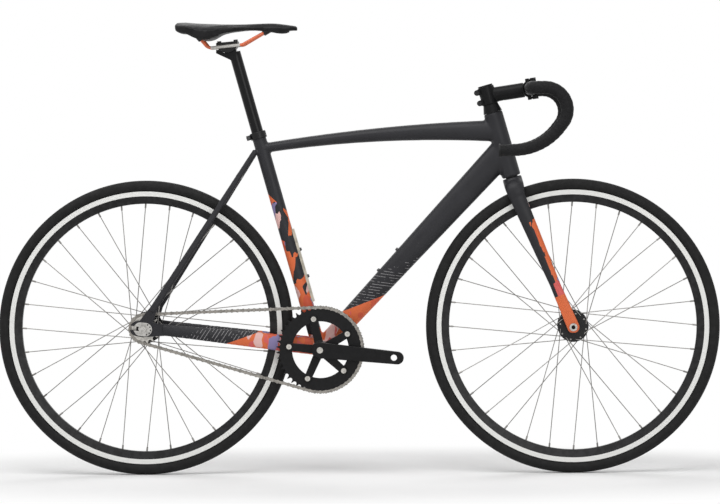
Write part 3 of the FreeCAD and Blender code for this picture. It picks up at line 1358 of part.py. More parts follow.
def toothed_ring(centre, teeth, gap_angle, bore):
    """A flat toothed ring with round seats for the rollers, one of them at gap_angle."""
    pitch = pitch_radius(teeth)
    seat = CHAIN_ROLLER_RADIUS + TOOTH_SEAT_CLEARANCE
    step = 2 * math.pi / teeth
    start_y = -CHAINLINE - RING_THICKNESS / 2
    tip = pitch + TOOTH_HEIGHT

    def at(radius, angle):
        return V(centre.x + radius * math.cos(angle), start_y, centre.z + radius * math.sin(angle))

    def seat_point_at(angle, turn):
        middle = at(pitch, angle)
        inward = angle + math.pi + math.radians(turn)
        return middle + V(seat * math.cos(inward), 0, seat * math.sin(inward))

    edges = []
    half_tip = TOOTH_TIP_HALF_WIDTH / tip
    for tooth in range(teeth):
        angle = gap_angle + step * tooth
        enter = seat_point_at(angle, TOOTH_SEAT_ANGLE)
        bottom = seat_point_at(angle, 0)
        leave = seat_point_at(angle, -TOOTH_SEAT_ANGLE)
        rise = at(tip, angle + step / 2 - half_tip)
        fall = at(tip, angle + step / 2 + half_tip)
        following = seat_point_at(angle + step, TOOTH_SEAT_ANGLE)
        edges.append(Part.Arc(enter, bottom, leave).toShape())
        edges.append(Part.LineSegment(leave, rise).toShape())
        edges.append(Part.LineSegment(rise, fall).toShape())
        edges.append(Part.LineSegment(fall, following).toShape())
    disc = Part.Face(Part.Wire(edges)).extrude(V(0, RING_THICKNESS, 0))
    return disc.cut(cross_rod(centre, start_y, start_y + RING_THICKNESS, bore))


def ring_bolt_points():
    """Centres of the chainring bolts, set half a step from the right crank arm."""
    points = []
    for arm in range(SPIDER_ARMS):
        angle = 360.0 / SPIDER_ARMS * (arm + 0.5) - CRANK_DROP_ANGLE
        points.append(BRACKET + polar(BOLT_CIRCLE_RADIUS, angle, 0))
    return points


def chainring():
    ring = toothed_ring(BRACKET, RING_TEETH, mesh_angle("ring"), RING_INNER_RADIUS)
    reach = CHAINLINE + RING_THICKNESS
    for point in ring_bolt_points():
        ring = ring.cut(cross_rod(point, -reach, 0, RING_BOLT_RADIUS))
    return ring


def sprocket():
    return toothed_ring(REAR_AXLE, SPROCKET_TEETH, mesh_angle("cog"), HUB_THREAD_RADIUS)


def lockring():
    start = CHAINLINE + RING_THICKNESS / 2
    edge = LOCKRING_RADIUS + LOCKRING_LIP
    ring = cross_pipe(REAR_AXLE, -start, -start - LOCKRING_THICKNESS, edge, HUB_THREAD_RADIUS)
    for notch in range(LOCKRING_NOTCHES):
        spot = REAR_AXLE + polar(edge, LOCKRING_NOTCH_START + 360.0 / LOCKRING_NOTCHES * notch, 0)
        ring = ring.cut(cross_rod(spot, -start - LOCKRING_THICKNESS, -start, LOCKRING_THICKNESS / 2))
    return ring


def spider_face():
    return CHAINLINE + RING_THICKNESS / 2


def crank_end(side):
    """The pedal end of a crank arm, the left one opposite the right one."""
    turn = -CRANK_DROP_ANGLE if side == RIGHT else 180 - CRANK_DROP_ANGLE
    return BRACKET + polar(CRANK_LENGTH, turn, 0)


def crank_body(side):
    """A flat arm with a boss on the spindle, a pedal hole and a recess for the crank bolt."""
    inner = side * CRANK_INNER_FACE
    outer = side * (CRANK_INNER_FACE + CRANK_THICKNESS)
    hole = crank_end(side)
    far = hole + (hole - BRACKET).normalize() * CRANK_END_BEYOND
    arm = flat_hull(BRACKET, far, CRANK_BOSS_RADIUS, CRANK_END_RADIUS, inner, outer)
    boss = cross_rod(BRACKET, side * CRANK_BOSS_FACE, outer, CRANK_BOSS_RADIUS)
    return arm.fuse(boss)


def drilled_crank(body, side):
    outer = side * (CRANK_INNER_FACE + CRANK_THICKNESS)
    body = body.cut(cross_rod(crank_end(side), 0, outer, PEDAL_HOLE_RADIUS))
    body = body.cut(cross_rod(BRACKET, 0, side * SPINDLE_HALF, SPINDLE_RADIUS))
    recess = outer - side * (CRANK_THICKNESS + CRANK_INNER_FACE - SPINDLE_HALF)
    return body.cut(cross_rod(BRACKET, recess, outer, CRANK_BOLT_HEAD_RADIUS + CLEAR))


def crank_left():
    return drilled_crank(crank_body(LEFT), LEFT)


def crank_right():
    """The drive side arm with its five-armed spider."""
    start = -spider_face()
    end = start - SPIDER_THICKNESS
    body = crank_body(RIGHT)
    arms = []
    for point in ring_bolt_points():
        arms.append(flat_hull(BRACKET, point, SPIDER_ROOT_HALF_WIDTH, SPIDER_END_RADIUS, start, end))
    body = body.fuse(arms)
    web = cross_rod(BRACKET, start, -CRANK_INNER_FACE, SPIDER_HUB_RADIUS)
    body = body.fuse(web)
    for point in ring_bolt_points():
        body = body.cut(cross_rod(point, end, start, RING_BOLT_RADIUS))
    return drilled_crank(body, RIGHT).removeSplitter()


def chainring_bolts():
    """Each bolt with its nut, clamping the ring to a spider arm."""
    inner = -CHAINLINE + RING_THICKNESS / 2
    outer = -spider_face() - SPIDER_THICKNESS
    bolts = []
    for point in ring_bolt_points():
        bolt = cross_rod(point, outer, inner, RING_BOLT_RADIUS)
        front = cross_rod(point, outer - RING_BOLT_HEAD_HEIGHT, outer, RING_BOLT_HEAD_RADIUS)
        rear = cross_rod(point, inner, inner + RING_BOLT_HEAD_HEIGHT, RING_BOLT_HEAD_RADIUS)
        socket = hex_prism(point, outer - RING_BOLT_HEAD_HEIGHT, outer + SPIDER_THICKNESS / 2,
                           RING_BOLT_RADIUS)
        bolts.append(bolt.fuse([front, rear]).cut(socket))
    return bolts


def bottom_bracket_spindle():
    spindle = cross_rod(BRACKET, -SPINDLE_HALF, SPINDLE_HALF, SPINDLE_RADIUS)
    for side in (LEFT, RIGHT):
        start = side * (SPINDLE_HALF - CRANK_BOLT_DEPTH)
        spindle = spindle.cut(cross_rod(BRACKET, start, side * SPINDLE_HALF, CRANK_BOLT_RADIUS))
    return spindle


def crank_bolts():
    bolts = []
    for side in (LEFT, RIGHT):
        face = V(BRACKET.x, side * SPINDLE_HALF, BRACKET.z)
        tip = V(BRACKET.x, side * (SPINDLE_HALF - CRANK_BOLT_DEPTH), BRACKET.z)
        bolts.append(socket_bolt(tip, face, CRANK_BOLT_RADIUS, CRANK_BOLT_HEAD_RADIUS,
                                 CRANK_BOLT_HEAD_HEIGHT))
    return bolts


# Post and saddle; the rail clamp is laid out level and then tilted about the rail centre

RAIL_CENTRE = seat_point(POST_TOP_HEIGHT + RAIL_HEIGHT_OVER_POST) - SEAT_AHEAD * CLAMP_SETBACK


def tilted(shape):
    return turned(shape, RAIL_CENTRE, -RAIL_TILT)


def at_rail(x, y, z):
    return RAIL_CENTRE + V(x, y, z)


def cradle_cylinder(radius, half_width):
    centre = at_rail(0, 0, CRADLE_CENTRE_RISE)
    return tilted(cross_rod(centre, -half_width, half_width, radius))


def rail_grooves(shape):
    for side in (LEFT, RIGHT):
        groove = rod(at_rail(-RAIL_REAR, side * RAIL_OFFSET, 0), at_rail(RAIL_FRONT, side * RAIL_OFFSET, 0),
                     RAIL_RADIUS + FIT)
        shape = shape.cut(tilted(groove))
    return shape


def saddle_bolt_lines():
    lines = []
    for end in (1, -1):
        x = end * SADDLE_BOLT_SPREAD
        low = CRADLE_CENTRE_RISE - math.sqrt(CRADLE_RADIUS ** 2 - SADDLE_BOLT_SPREAD ** 2)
        lines.append((at_rail(x, 0, low + SADDLE_BOLT_RADIUS), at_rail(x, 0, YOKE_HEIGHT)))
    return lines


def bolt_holes(shape):
    for start, end in saddle_bolt_lines():
        shape = shape.cut(tilted(rod(start, end, SADDLE_BOLT_RADIUS)))
    return shape


def seatpost():
    """A round post with a head behind its axis that is hollowed for the cradle."""
    low = seat_point(SEAT_TUBE_LENGTH - POST_INSERT)
    high = seat_point(POST_TOP_HEIGHT)
    head_high = CRADLE_CENTRE_RISE - CRADLE_RADIUS + POST_HEAD_LIP - CLAMP_SPLIT
    head_low = head_high - POST_HEAD_HEIGHT
    outline = [(-POST_HEAD_BEHIND, head_high), (POST_HEAD_AHEAD, head_high), (POST_HEAD_AHEAD, head_low),
               (POST_HEAD_FOOT, head_low), (-POST_HEAD_BEHIND, head_high - POST_HEAD_LIP)]
    corners = [at_rail(x, -POST_HEAD_HALF_WIDTH, z) for x, z in outline]
    head = Part.Face(Part.makePolygon(corners + corners[:1])).extrude(SIDE * (POST_HEAD_HALF_WIDTH * 2))
    post = rod(low, high, SEATPOST_RADIUS).fuse(head)
    bore_high = seat_point(POST_TOP_HEIGHT - POST_HEAD_HEIGHT)
    post = post.cut(rod(low, bore_high, SEATPOST_RADIUS - POST_WALL))
    return largest_solid(post.cut(cradle_cylinder(CRADLE_RADIUS + CLEAR, CRADLE_HALF_WIDTH * 2)))


def saddle_cradle():
    cradle = cradle_cylinder(CRADLE_RADIUS, CRADLE_HALF_WIDTH)
    size = CRADLE_RADIUS * SPLIT_BLOCK_SCALE
    above = block(at_rail(0, 0, size / 2 - CLAMP_SPLIT / 2), V(1, 0, 0), SIDE, UP, size, size, size)
    return largest_solid(bolt_holes(rail_grooves(cradle.cut(tilted(above)))))


def saddle_yoke():
    low = CLAMP_SPLIT / 2
    yoke = block(at_rail(0, 0, (low + YOKE_HEIGHT) / 2), V(1, 0, 0), SIDE, UP, YOKE_HALF_LENGTH * 2,
                 CRADLE_HALF_WIDTH * 2, YOKE_HEIGHT - low)
    return largest_solid(bolt_holes(rail_grooves(tilted(yoke))))


def saddle_clamp_bolts():
    bolts = []
    for start, end in saddle_bolt_lines():
        bolts.append(tilted(socket_bolt(start, end, SADDLE_BOLT_RADIUS, SADDLE_BOLT_HEAD_RADIUS,
                                        SADDLE_BOLT_HEAD_HEIGHT)))
    return bolts


def rail_path(side):
    corners = [at_rail(-RAIL_TAIL_X, side * RAIL_TAIL_OFFSET, RAIL_TAIL_Z),
               at_rail(-RAIL_REAR, side * RAIL_OFFSET, 0),
               at_rail(RAIL_FRONT, side * RAIL_OFFSET, 0),
               at_rail(RAIL_NOSE_X, side * RAIL_NOSE_OFFSET, RAIL_NOSE_Z)]
    return corners, rounded_path(corners, [RAIL_BEND_RADIUS, RAIL_BEND_RADIUS])


def saddle_rails():
    rails = []
    for side in (LEFT, RIGHT):
        corners, path = rail_path(side)
        rails.append(tilted(swept(path, RAIL_RADIUS)))
    return rails


# Share of the saddle's length from the tail, half width, top and underside over the rails
SADDLE_STATIONS = [(0.00, 40.0, 5.5, 46.5),
                   (0.06, 58.0, 4.2, 31.5),
                   (0.12, 66.0, 2.5, 26.5),
                   (0.20, 70.0, 0.8, 17.0),
                   (0.28, 65.0, 0.0, 16.5),
                   (0.37, 52.0, -1.0, 28.0),
                   (0.47, 39.0, -1.5, 34.5),
                   (0.60, 27.5, -1.0, 38.0),
                   (0.80, 20.5, 0.5, 33.0),
                   (0.93, 16.5, -2.0, 34.0),
                   (1.00, 12.0, -3.5, 34.0)]


def saddle_section(share, half, crown, under):
    """A closed outline across the saddle: flat below, drawn-in sides and a crowned top."""
    x = RAIL_CENTRE.x - SADDLE_TAIL_BEHIND + SADDLE_LENGTH * share
    low = RAIL_CENTRE.z + under
    top = RAIL_CENTRE.z + SADDLE_TOP_OVER_RAIL + crown
    shoulder = top - SADDLE_CROWN * (top - low)
    tuck = half - SADDLE_TUCK
    left_low, right_low = V(x, tuck, low), V(x, -tuck, low)
    left, right = V(x, half, shoulder), V(x, -half, shoulder)
    edges = [Part.LineSegment(right_low, left_low).toShape(),
             Part.LineSegment(left_low, left).toShape(),
             Part.Arc(left, V(x, 0, top), right).toShape(),
             Part.LineSegment(right, right_low).toShape()]
    return Part.Wire(edges)


def base_section(share, half, crown, under):
    """The outline across the stiff base that is let into the underside."""
    x = RAIL_CENTRE.x - SADDLE_TAIL_BEHIND + SADDLE_LENGTH * share
    wide = half - SADDLE_TUCK - min(SADDLE_RIM, half * SADDLE_RIM_SHARE)
    low = RAIL_CENTRE.z + under - SADDLE_BASE_PROUD
    high = low + SADDLE_BASE_THICKNESS + SADDLE_BASE_PROUD
    corners = [V(x, wide, low), V(x, -wide, low), V(x, -wide, high), V(x, wide, high)]
    return Part.makePolygon(corners + corners[:1])


def base_plate():
    inner = SADDLE_STATIONS[1:-1]
    return Part.makeLoft([base_section(*station) for station in inner], True)


def saddle_cover():
    cushion = Part.makeLoft([saddle_section(*station) for station in SADDLE_STATIONS], True)
    return largest_solid(cushion.cut(base_plate()).cut(base_sockets()))


def base_sockets():
    """Blocks on the base that take the four ends of the rails."""
    sockets = []
    for side in (LEFT, RIGHT):
        corners, path = rail_path(side)
        for end, before in ((corners[0], corners[1]), (corners[3], corners[2])):
            outward = (end - before).normalize()
            sockets.append(tilted(rod(end - outward * SOCKET_GRIP, end + outward * SOCKET_REACH,
                                      RAIL_RADIUS + SOCKET_WALL)))
    return sockets[0].fuse(sockets[1:])


def saddle_base():
    base = base_plate().fuse(base_sockets())
    for rail in saddle_rails():
        base = base.cut(rail)
    return largest_solid(base)


# Every node with its solid or solids

def wheel_nodes(name, axle, flange_offset, half, axle_radius, driven):
    return {name + "_tyre": moved([tyre()], axle),
            name + "_rim": moved([rim(flange_offset)], axle),
            name + "_spokes": moved(spokes(flange_offset), axle),
            name + "_hub": moved([hub(flange_offset, half, driven)], axle),
            name + "_hub_bearings": moved(hub_bearings(half, axle_radius), axle)}


def all_nodes():
    nodes = {"head_tube": head_tube(), "top_tube": top_tube(), "down_tube": down_tube(),
             "seat_tube": seat_tube(), "bottom_bracket_shell": bottom_bracket_shell(),
             "stay_bridges": stay_bridges(), "seat_collar": seat_collar(),
             "frame_bolts": frame_bolts(), "seat_tube_strip": seat_tube_strip(),
             "headset_bearings": headset_bearings(), "bottom_bracket_cups": bottom_bracket_cups(),
             "rear_axle": rear_axle(), "rear_axle_nuts": rear_axle_nuts(), "chain": chain(),
             "track_end_plates": [track_end_plate(LEFT), track_end_plate(RIGHT)],
             "fork_steerer": fork_steerer(), "fork_crown": fork_crown(),
             "headset_cover": headset_cover(), "front_axle": front_axle(),
             "front_axle_bolts": front_axle_bolts(), "stem": stem(),
             "stem_faceplate": stem_faceplate(), "stem_bolts": stem_bolts(),
             "stem_top_cap": stem_top_cap(), "handlebar": handlebar(), "bar_tape": bar_tape(),
             "bar_plugs": bar_plugs(), "sprocket": sprocket(), "lockring": lockring(),
             "bottom_bracket_spindle": bottom_bracket_spindle(), "crank_right": crank_right(),
             "crank_left": crank_left(), "chainring": chainring(),
             "chainring_bolts": chainring_bolts(), "crank_bolts": crank_bolts(),
             "seatpost": seatpost(), "saddle_cradle": saddle_cradle(), "saddle_yoke": saddle_yoke(),
             "saddle_clamp_bolts": saddle_clamp_bolts(), "saddle_rails": saddle_rails(),
             "saddle_base": saddle_base(), "saddle_cover": saddle_cover()}
    for name, side in (("left", LEFT), ("right", RIGHT)):
        nodes["chainstay_" + name] = chainstay(side)
        nodes["seatstay_" + name] = seatstay(side)
        nodes["dropout_" + name] = dropout(side)
        nodes["fork_blade_" + name] = fork_blade(side)
    nodes.update(wheel_nodes("front", FRONT_AXLE, FRONT_FLANGE_OFFSET, FRONT_HUB_HALF,
                             FRONT_AXLE_RADIUS, False))
    nodes.update(wheel_nodes("rear", REAR_AXLE, REAR_FLANGE_OFFSET, REAR_HUB_HALF,
                             REAR_AXLE_RADIUS, True))
    return nodes


def main():
    os.makedirs("parts", exist_ok=True)
    for name, shape in all_nodes().items():
        solids = shape if isinstance(shape, list) else [shape]
        node = solids[0] if len(solids) == 1 else Part.makeCompound(solids)
        node.exportStep("parts/" + name + ".step")


main()
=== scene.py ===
import json
import math

import bmesh
import bpy
from mathutils import Matrix, Vector


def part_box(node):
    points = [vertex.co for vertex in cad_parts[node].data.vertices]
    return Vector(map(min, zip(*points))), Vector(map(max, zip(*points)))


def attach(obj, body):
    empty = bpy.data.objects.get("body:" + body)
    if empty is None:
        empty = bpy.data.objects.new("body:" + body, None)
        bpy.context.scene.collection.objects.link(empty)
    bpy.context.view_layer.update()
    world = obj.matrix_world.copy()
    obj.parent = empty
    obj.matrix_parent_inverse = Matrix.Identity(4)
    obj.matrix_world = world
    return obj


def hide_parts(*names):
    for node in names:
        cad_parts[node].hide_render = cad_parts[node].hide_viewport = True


bl_info = {
    "name": "Fixed Gear Bike",
    "version": (1, 0, 0),
    "blender": (4, 5, 0),
    "location": "View3D > Sidebar > Bike",
    "description": "Dresses the packed track bike with paint, rubber, leather and metal finishes",
    "category": "Object",
}

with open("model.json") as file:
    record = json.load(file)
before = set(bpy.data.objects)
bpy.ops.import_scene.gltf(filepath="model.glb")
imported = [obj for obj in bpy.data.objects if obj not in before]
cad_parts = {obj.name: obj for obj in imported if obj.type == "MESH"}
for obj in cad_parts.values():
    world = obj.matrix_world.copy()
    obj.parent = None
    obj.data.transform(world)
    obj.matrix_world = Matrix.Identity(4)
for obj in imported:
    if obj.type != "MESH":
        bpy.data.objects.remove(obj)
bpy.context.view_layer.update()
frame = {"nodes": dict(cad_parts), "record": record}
NODES = frame["nodes"]
JOINTS = {joint["name"]: joint for joint in frame["record"]["behaviour"]["joints"]}
MM = 0.001

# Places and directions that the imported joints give
FRONT_AXLE = Vector(JOINTS["front_wheel_spin"]["pos_m"])
REAR_AXLE = Vector(JOINTS["rear_wheel_spin"]["pos_m"])
BRACKET = Vector(JOINTS["crank_spin"]["pos_m"])
BAR_CENTRE = Vector(JOINTS["bar_roll"]["pos_m"])
STEER_FOOT = Vector(JOINTS["steer"]["pos_m"])
STEER_UP = Vector(JOINTS["steer"]["axis"])
SEAT_UP = Vector(JOINTS["post_height"]["axis"])
SEAT_AHEAD = Vector((SEAT_UP.z, 0.0, -SEAT_UP.x))
SEAT_TUBE_SETBACK = 5.0 * MM
SEAT_FOOT = BRACKET - SEAT_AHEAD * SEAT_TUBE_SETBACK
DOWN_TUBE_AHEAD = Vector((0.68064, 0.0, 0.73262))
DOWN_TUBE_ABOVE = Vector((-DOWN_TUBE_AHEAD.z, 0.0, DOWN_TUBE_AHEAD.x))
STAY_BACK = (REAR_AXLE - BRACKET).normalized()
STAY_ABOVE = Vector((STAY_BACK.z, 0.0, -STAY_BACK.x))
BLADE_UP = Vector((-0.3908, 0.0, 0.9205))
BLADE_AHEAD = Vector((BLADE_UP.z, 0.0, -BLADE_UP.x))
CHAINLINE = 42.0 * MM
SIDE = Vector((0.0, 1.0, 0.0))
LEFT = 1
RIGHT = -1

# The photograph's frame, and how far ahead of the wheels' middle its centre column lies
PHOTO_WIDTH = 720
PHOTO_HEIGHT = 504
MM_PER_PIXEL = 2.307
GROUND_PIXEL = 472.8
PHOTO_MIDDLE = 3.0 * MM
SENSOR_WIDTH = 36.0

# Zones of the frame's paint: start and end along a tube, half width, and slant of the ends
SEAT_ZONE = (50 * MM, 352 * MM, 19 * MM, 1.6)
DOWN_ZONE = (-20 * MM, 142 * MM, 36 * MM, 2.03)
STAY_ZONE = (-20 * MM, 192 * MM, 30 * MM, 2.05)
DOWN_STROKES = (142 * MM, 262 * MM, 36 * MM, 2.03)
STAY_STROKES = (192 * MM, 305 * MM, 36 * MM, 2.05)
FRAME_PATCH = 17 * MM
SEAT_DARK_SHARE = 0.36
STROKE_HALF_PITCH = 4 * MM
STROKE_HALF_WIDTH = 0.55 * MM
STROKE_STRENGTH = 0.5

# Zones of the fork's paint, measured up the blade from the axle and forward of its middle line
FORK_PATCH = 15 * MM
FORK_DARK_SHARE = 0.25
FORK_RUN = (60 * MM, 320 * MM)
FORK_RUN_RAGGED = 60 * MM
FORK_EDGE = 3 * MM
FORK_EDGE_RAGGED = 10 * MM
FORK_EDGE_TAPER = -0.03
FORK_TIP = 78 * MM

# The satin coat, and the noise behind every finish
PAINT_GLOSS = 0.22
PAINT_ROUGHNESS = 0.42
GRAIN_DETAIL = 3.0
NOISE_LOW = 0.3
NOISE_HIGH = 0.7
WHITE = (1.0, 1.0, 1.0, 1.0)
BLACK = (0.0, 0.0, 0.0, 1.0)

# Mesh work
MERGE_DISTANCE = 0.01 * MM
SLICE_OVERLAP_SHARE = 0.04
SLICE_OVERLAP_LIMIT = 1.0 * MM
BORE_SEGMENTS = 96
SOFTEN_FACTOR = 0.5
CRANK_ROUNDS = 5
STEM_ROUNDS = 4
SMALL_ROUNDS = 3


# Properties

class BikeColours(bpy.types.PropertyGroup):
    """Paint and finish colours as sRGB hex."""
    paint: bpy.props.StringProperty(
        name="Paint", description="Satin coat of the frame and the fork crown", default="262629")
    orange: bpy.props.StringProperty(
        name="Orange", description="Main warm colour of the painted shards", default="D4693F")
    coral: bpy.props.StringProperty(
        name="Coral", description="Second warm colour of the shards", default="CB5A3F")
    rose: bpy.props.StringProperty(
        name="Rose", description="Pink red of a few shards", default="CE5E5A")
    lilac: bpy.props.StringProperty(
        name="Lilac", description="Cool colour of a few shards", default="8278A0")
    blush: bpy.props.StringProperty(
        name="Blush", description="Pale colour of the thinnest shards", default="DEB4AF")
    black: bpy.props.StringProperty(
        name="Black metal", description="Anodised stem, hubs, cranks and post", default="101011")
    rubber: bpy.props.StringProperty(
        name="Rubber", description="Tyres", default="1B1B1B")
    track: bpy.props.StringProperty(
        name="Brake track", description="Machined side bands of the rims", default="E9E9E6")
    rail: bpy.props.StringProperty(
        name="Saddle rail", description="Painted ends of the saddle rails", default="D9683F")
    strip: bpy.props.StringProperty(
        name="Strip", description="Bare rail on the front of the seat tube", default="B8B1A3")


class FrameSizes(bpy.types.PropertyGroup):
    """Voxel and bore sizes of the welded skins."""
    frame_voxel: bpy.props.FloatProperty(
        name="Frame voxel", description="Grid of the welded frame skin", default=2.2 * MM, unit="LENGTH")
    fork_voxel: bpy.props.FloatProperty(
        name="Fork voxel", description="Grid of the welded fork skin", default=1.6 * MM, unit="LENGTH")
    part_voxel: bpy.props.FloatProperty(
        name="Forging voxel", description="Grid of the softened forgings", default=0.9 * MM, unit="LENGTH")
    head_bore: bpy.props.FloatProperty(
        name="Head tube bore", description="Radius left open for the steerer and its bearings",
        default=19.5 * MM, unit="LENGTH")
    seat_bore: bpy.props.FloatProperty(
        name="Seat tube bore", description="Radius left open for the post", default=13.65 * MM,
        unit="LENGTH")
    shell_bore: bpy.props.FloatProperty(
        name="Shell bore", description="Radius left open for the bearing cups", default=17.4 * MM,
        unit="LENGTH")


class WheelSizes(bpy.types.PropertyGroup):
    """Tyre and rim sizes."""
    tyre_radius: bpy.props.FloatProperty(
        name="Tyre radius", description="Axle to tread", default=REAR_AXLE.z, unit="LENGTH")
    tyre_half_width: bpy.props.FloatProperty(
        name="Tyre half width", description="Radius of the round casing", default=13.5 * MM, unit="LENGTH")
    rim_edge: bpy.props.FloatProperty(
        name="Rim edge", description="Radius of the rim's outer edge", default=314.0 * MM, unit="LENGTH")
    track_low: bpy.props.FloatProperty(
        name="Track lower edge", description="Radius where the brake track ends", default=303.0 * MM,
        unit="LENGTH")
    spin_steps: bpy.props.IntProperty(
        name="Spin steps", description="Segments round a tyre", default=192)


class BarSizes(bpy.types.PropertyGroup):
    """The bent bar and its tape."""
    half_width: bpy.props.FloatProperty(
        name="Half width", description="Middle to the centre of a drop", default=205.0 * MM, unit="LENGTH")
    reach: bpy.props.FloatProperty(
        name="Reach", description="How far the drops go forward", default=80.0 * MM, unit="LENGTH")
    drop: bpy.props.FloatProperty(
        name="Drop", description="Tops down to the ends", default=141.0 * MM, unit="LENGTH")
    grip: bpy.props.FloatProperty(
        name="Lower grip", description="Forward bend back to the end", default=150.0 * MM, unit="LENGTH")
    grip_fall: bpy.props.FloatProperty(
        name="Grip fall", description="Fall of the lower grip to its end", default=2.0 * MM, unit="LENGTH")
    leg_slope: bpy.props.FloatProperty(
        name="Leg slope", description="Angle of the sloping leg under the hook", default=math.radians(52.0),
        subtype="ANGLE")
    tape_start: bpy.props.FloatProperty(
        name="Tape start", description="Middle of the bar to the first wrap", default=76.0 * MM,
        unit="LENGTH")
    tape_radius: bpy.props.FloatProperty(
        name="Taped radius", description="Radius over the tape", default=15.0 * MM, unit="LENGTH")
    wrap_pitch: bpy.props.FloatProperty(
        name="Wrap pitch", description="Distance from one tape edge to the next", default=13.0 * MM,
        unit="LENGTH")
    wrap_step: bpy.props.FloatProperty(
        name="Wrap step", description="Height of a tape edge over the wrap below", default=0.7 * MM,
        unit="LENGTH")


class SaddleSizes(bpy.types.PropertyGroup):
    """The padded saddle."""
    voxel: bpy.props.FloatProperty(
        name="Cushion voxel", description="Grid of the cushion before it is filled", default=3.6 * MM,
        unit="LENGTH")
    pressure: bpy.props.FloatProperty(
        name="Fill pressure", description="Pressure that swells the foam", default=3.0)
    frames: bpy.props.IntProperty(
        name="Fill frames", description="Length of the fill simulation", default=16)
    swell: bpy.props.FloatProperty(
        name="Largest swell", description="How far a point of the cushion may move", default=2.2 * MM,
        unit="LENGTH")


GROUPS = {"bike_colours": BikeColours, "bike_frame": FrameSizes, "bike_wheel": WheelSizes,
          "bike_bar": BarSizes, "bike_saddle": SaddleSizes}


# Shader helpers

def linear(hex_colour):
    """sRGB hex to the linear colour that the shaders take."""
    channels = []
    for start in (0, 2, 4):
        value = int(hex_colour[start:start + 2], 16) / 255.0
        channels.append(value / 12.92 if value <= 0.04045 else ((value + 0.055) / 1.055) ** 2.4)
    return channels + [1.0]


def add(tree, kind, settings=None, inputs=None, output=0):
    """Adds a shader node and gives one of its outputs; an input takes a value or such an output."""
    made = tree.nodes.new("ShaderNode" + kind)
    for name, value in (settings or {}).items():
        if name == "stops":
            while len(made.color_ramp.elements) < len(value):
                made.color_ramp.elements.new(1.0)
            for element, (place, colour) in zip(made.color_ramp.elements, value):
                element.position = place
                element.color = colour
        elif name == "steps":
            made.color_ramp.interpolation = value
        else:
            setattr(made, name, value)
    for name, value in (inputs or {}).items():
        if isinstance(value, bpy.types.NodeSocket):
            tree.links.new(value, made.inputs[name])
        else:
            made.inputs[name].default_value = value
    return made.outputs[output]


def scaled(colour, share):
    """A darker or lighter copy of a linear colour."""
    return [channel * share for channel in colour[:3]] + [1.0]


def new_material(name, constants):
    """A material with its constant values on the shader's own sockets, and its Object coordinates."""
    made = bpy.data.materials.new(name)
    made.use_nodes = True
    tree = made.node_tree
    shader = tree.nodes["Principled BSDF"]
    for socket, value in constants.items():
        shader.inputs[socket].default_value = value
    return made, tree, shader, add(tree, "TexCoord", output="Object")


def band(tree, value, low, high):
    """One inside low to high, nought outside."""
    over = add(tree, "Math", {"operation": "GREATER_THAN"}, {0: value, 1: low})
    under = add(tree, "Math", {"operation": "LESS_THAN"}, {0: value, 1: high})
    return add(tree, "Math", {"operation": "MULTIPLY"}, {0: over, 1: under})


def along(tree, place, origin, direction):
    """Distance of a point from the origin along a direction."""
    shifted = add(tree, "VectorMath", {"operation": "SUBTRACT"}, {0: place, 1: origin})
    return add(tree, "VectorMath", {"operation": "DOT_PRODUCT"}, {0: shifted, 1: direction}, "Value")


def from_axle(tree, place, axle):
    """Distance of a point from a wheel's axle line and from its middle plane, and its angle round."""
    shifted = add(tree, "VectorMath", {"operation": "SUBTRACT"}, {0: place, 1: axle})
    flat = add(tree, "VectorMath", {"operation": "MULTIPLY"}, {0: shifted, 1: (1.0, 0.0, 1.0)})
    radius = add(tree, "VectorMath", {"operation": "LENGTH"}, {0: flat}, "Value")
    parts = add(tree, "SeparateXYZ", None, {0: shifted}, "X").node
    angle = add(tree, "Math", {"operation": "ARCTAN2"}, {0: parts.outputs["Z"], 1: parts.outputs["X"]})
    across = add(tree, "Math", {"operation": "ABSOLUTE"}, {0: parts.outputs["Y"]})
    return radius, across, angle


def grain(tree, place, size, low=0.0, high=1.0):
    """Noise with a grain of a real size, mapped from its usual range to low and high."""
    fine = add(tree, "TexNoise", None, {"Vector": place, "Scale": 1.0 / size, "Detail": GRAIN_DETAIL})
    return add(tree, "MapRange", None, {"Value": fine, "From Min": NOISE_LOW, "From Max": NOISE_HIGH,
                                        "To Min": low, "To Max": high})


def ripple(tree, value, half, top=1.0):
    """Ridges twice the half apart, from nought up to the top."""
    wave = add(tree, "Math", {"operation": "PINGPONG"}, {0: value, 1: half})
    return add(tree, "MapRange", None, {"Value": wave, "From Max": half, "To Max": top})


def seen_directly(tree):
    """One for rays from the camera and for mirrored or passed ones, nought for diffuse light."""
    path = add(tree, "LightPath").node
    seen = add(tree, "Math", {"operation": "MAXIMUM"},
               {0: path.outputs["Is Camera Ray"], 1: path.outputs["Is Glossy Ray"]})
    return add(tree, "Math", {"operation": "MAXIMUM"}, {0: seen, 1: path.outputs["Is Transmission Ray"]})


def coated(tree, shader, colour, roughness, height, strength, distance):
    """Links a colour, a roughness pattern and a bump of a real height to the shader."""
    tree.links.new(colour, shader.inputs["Base Color"])
    normal = add(tree, "Bump", None, {"Height": height, "Strength": strength, "Distance": distance})
    tree.links.new(roughness, shader.inputs["Roughness"])
    tree.links.new(normal, shader.inputs["Normal"])


# Finishes, one function for each

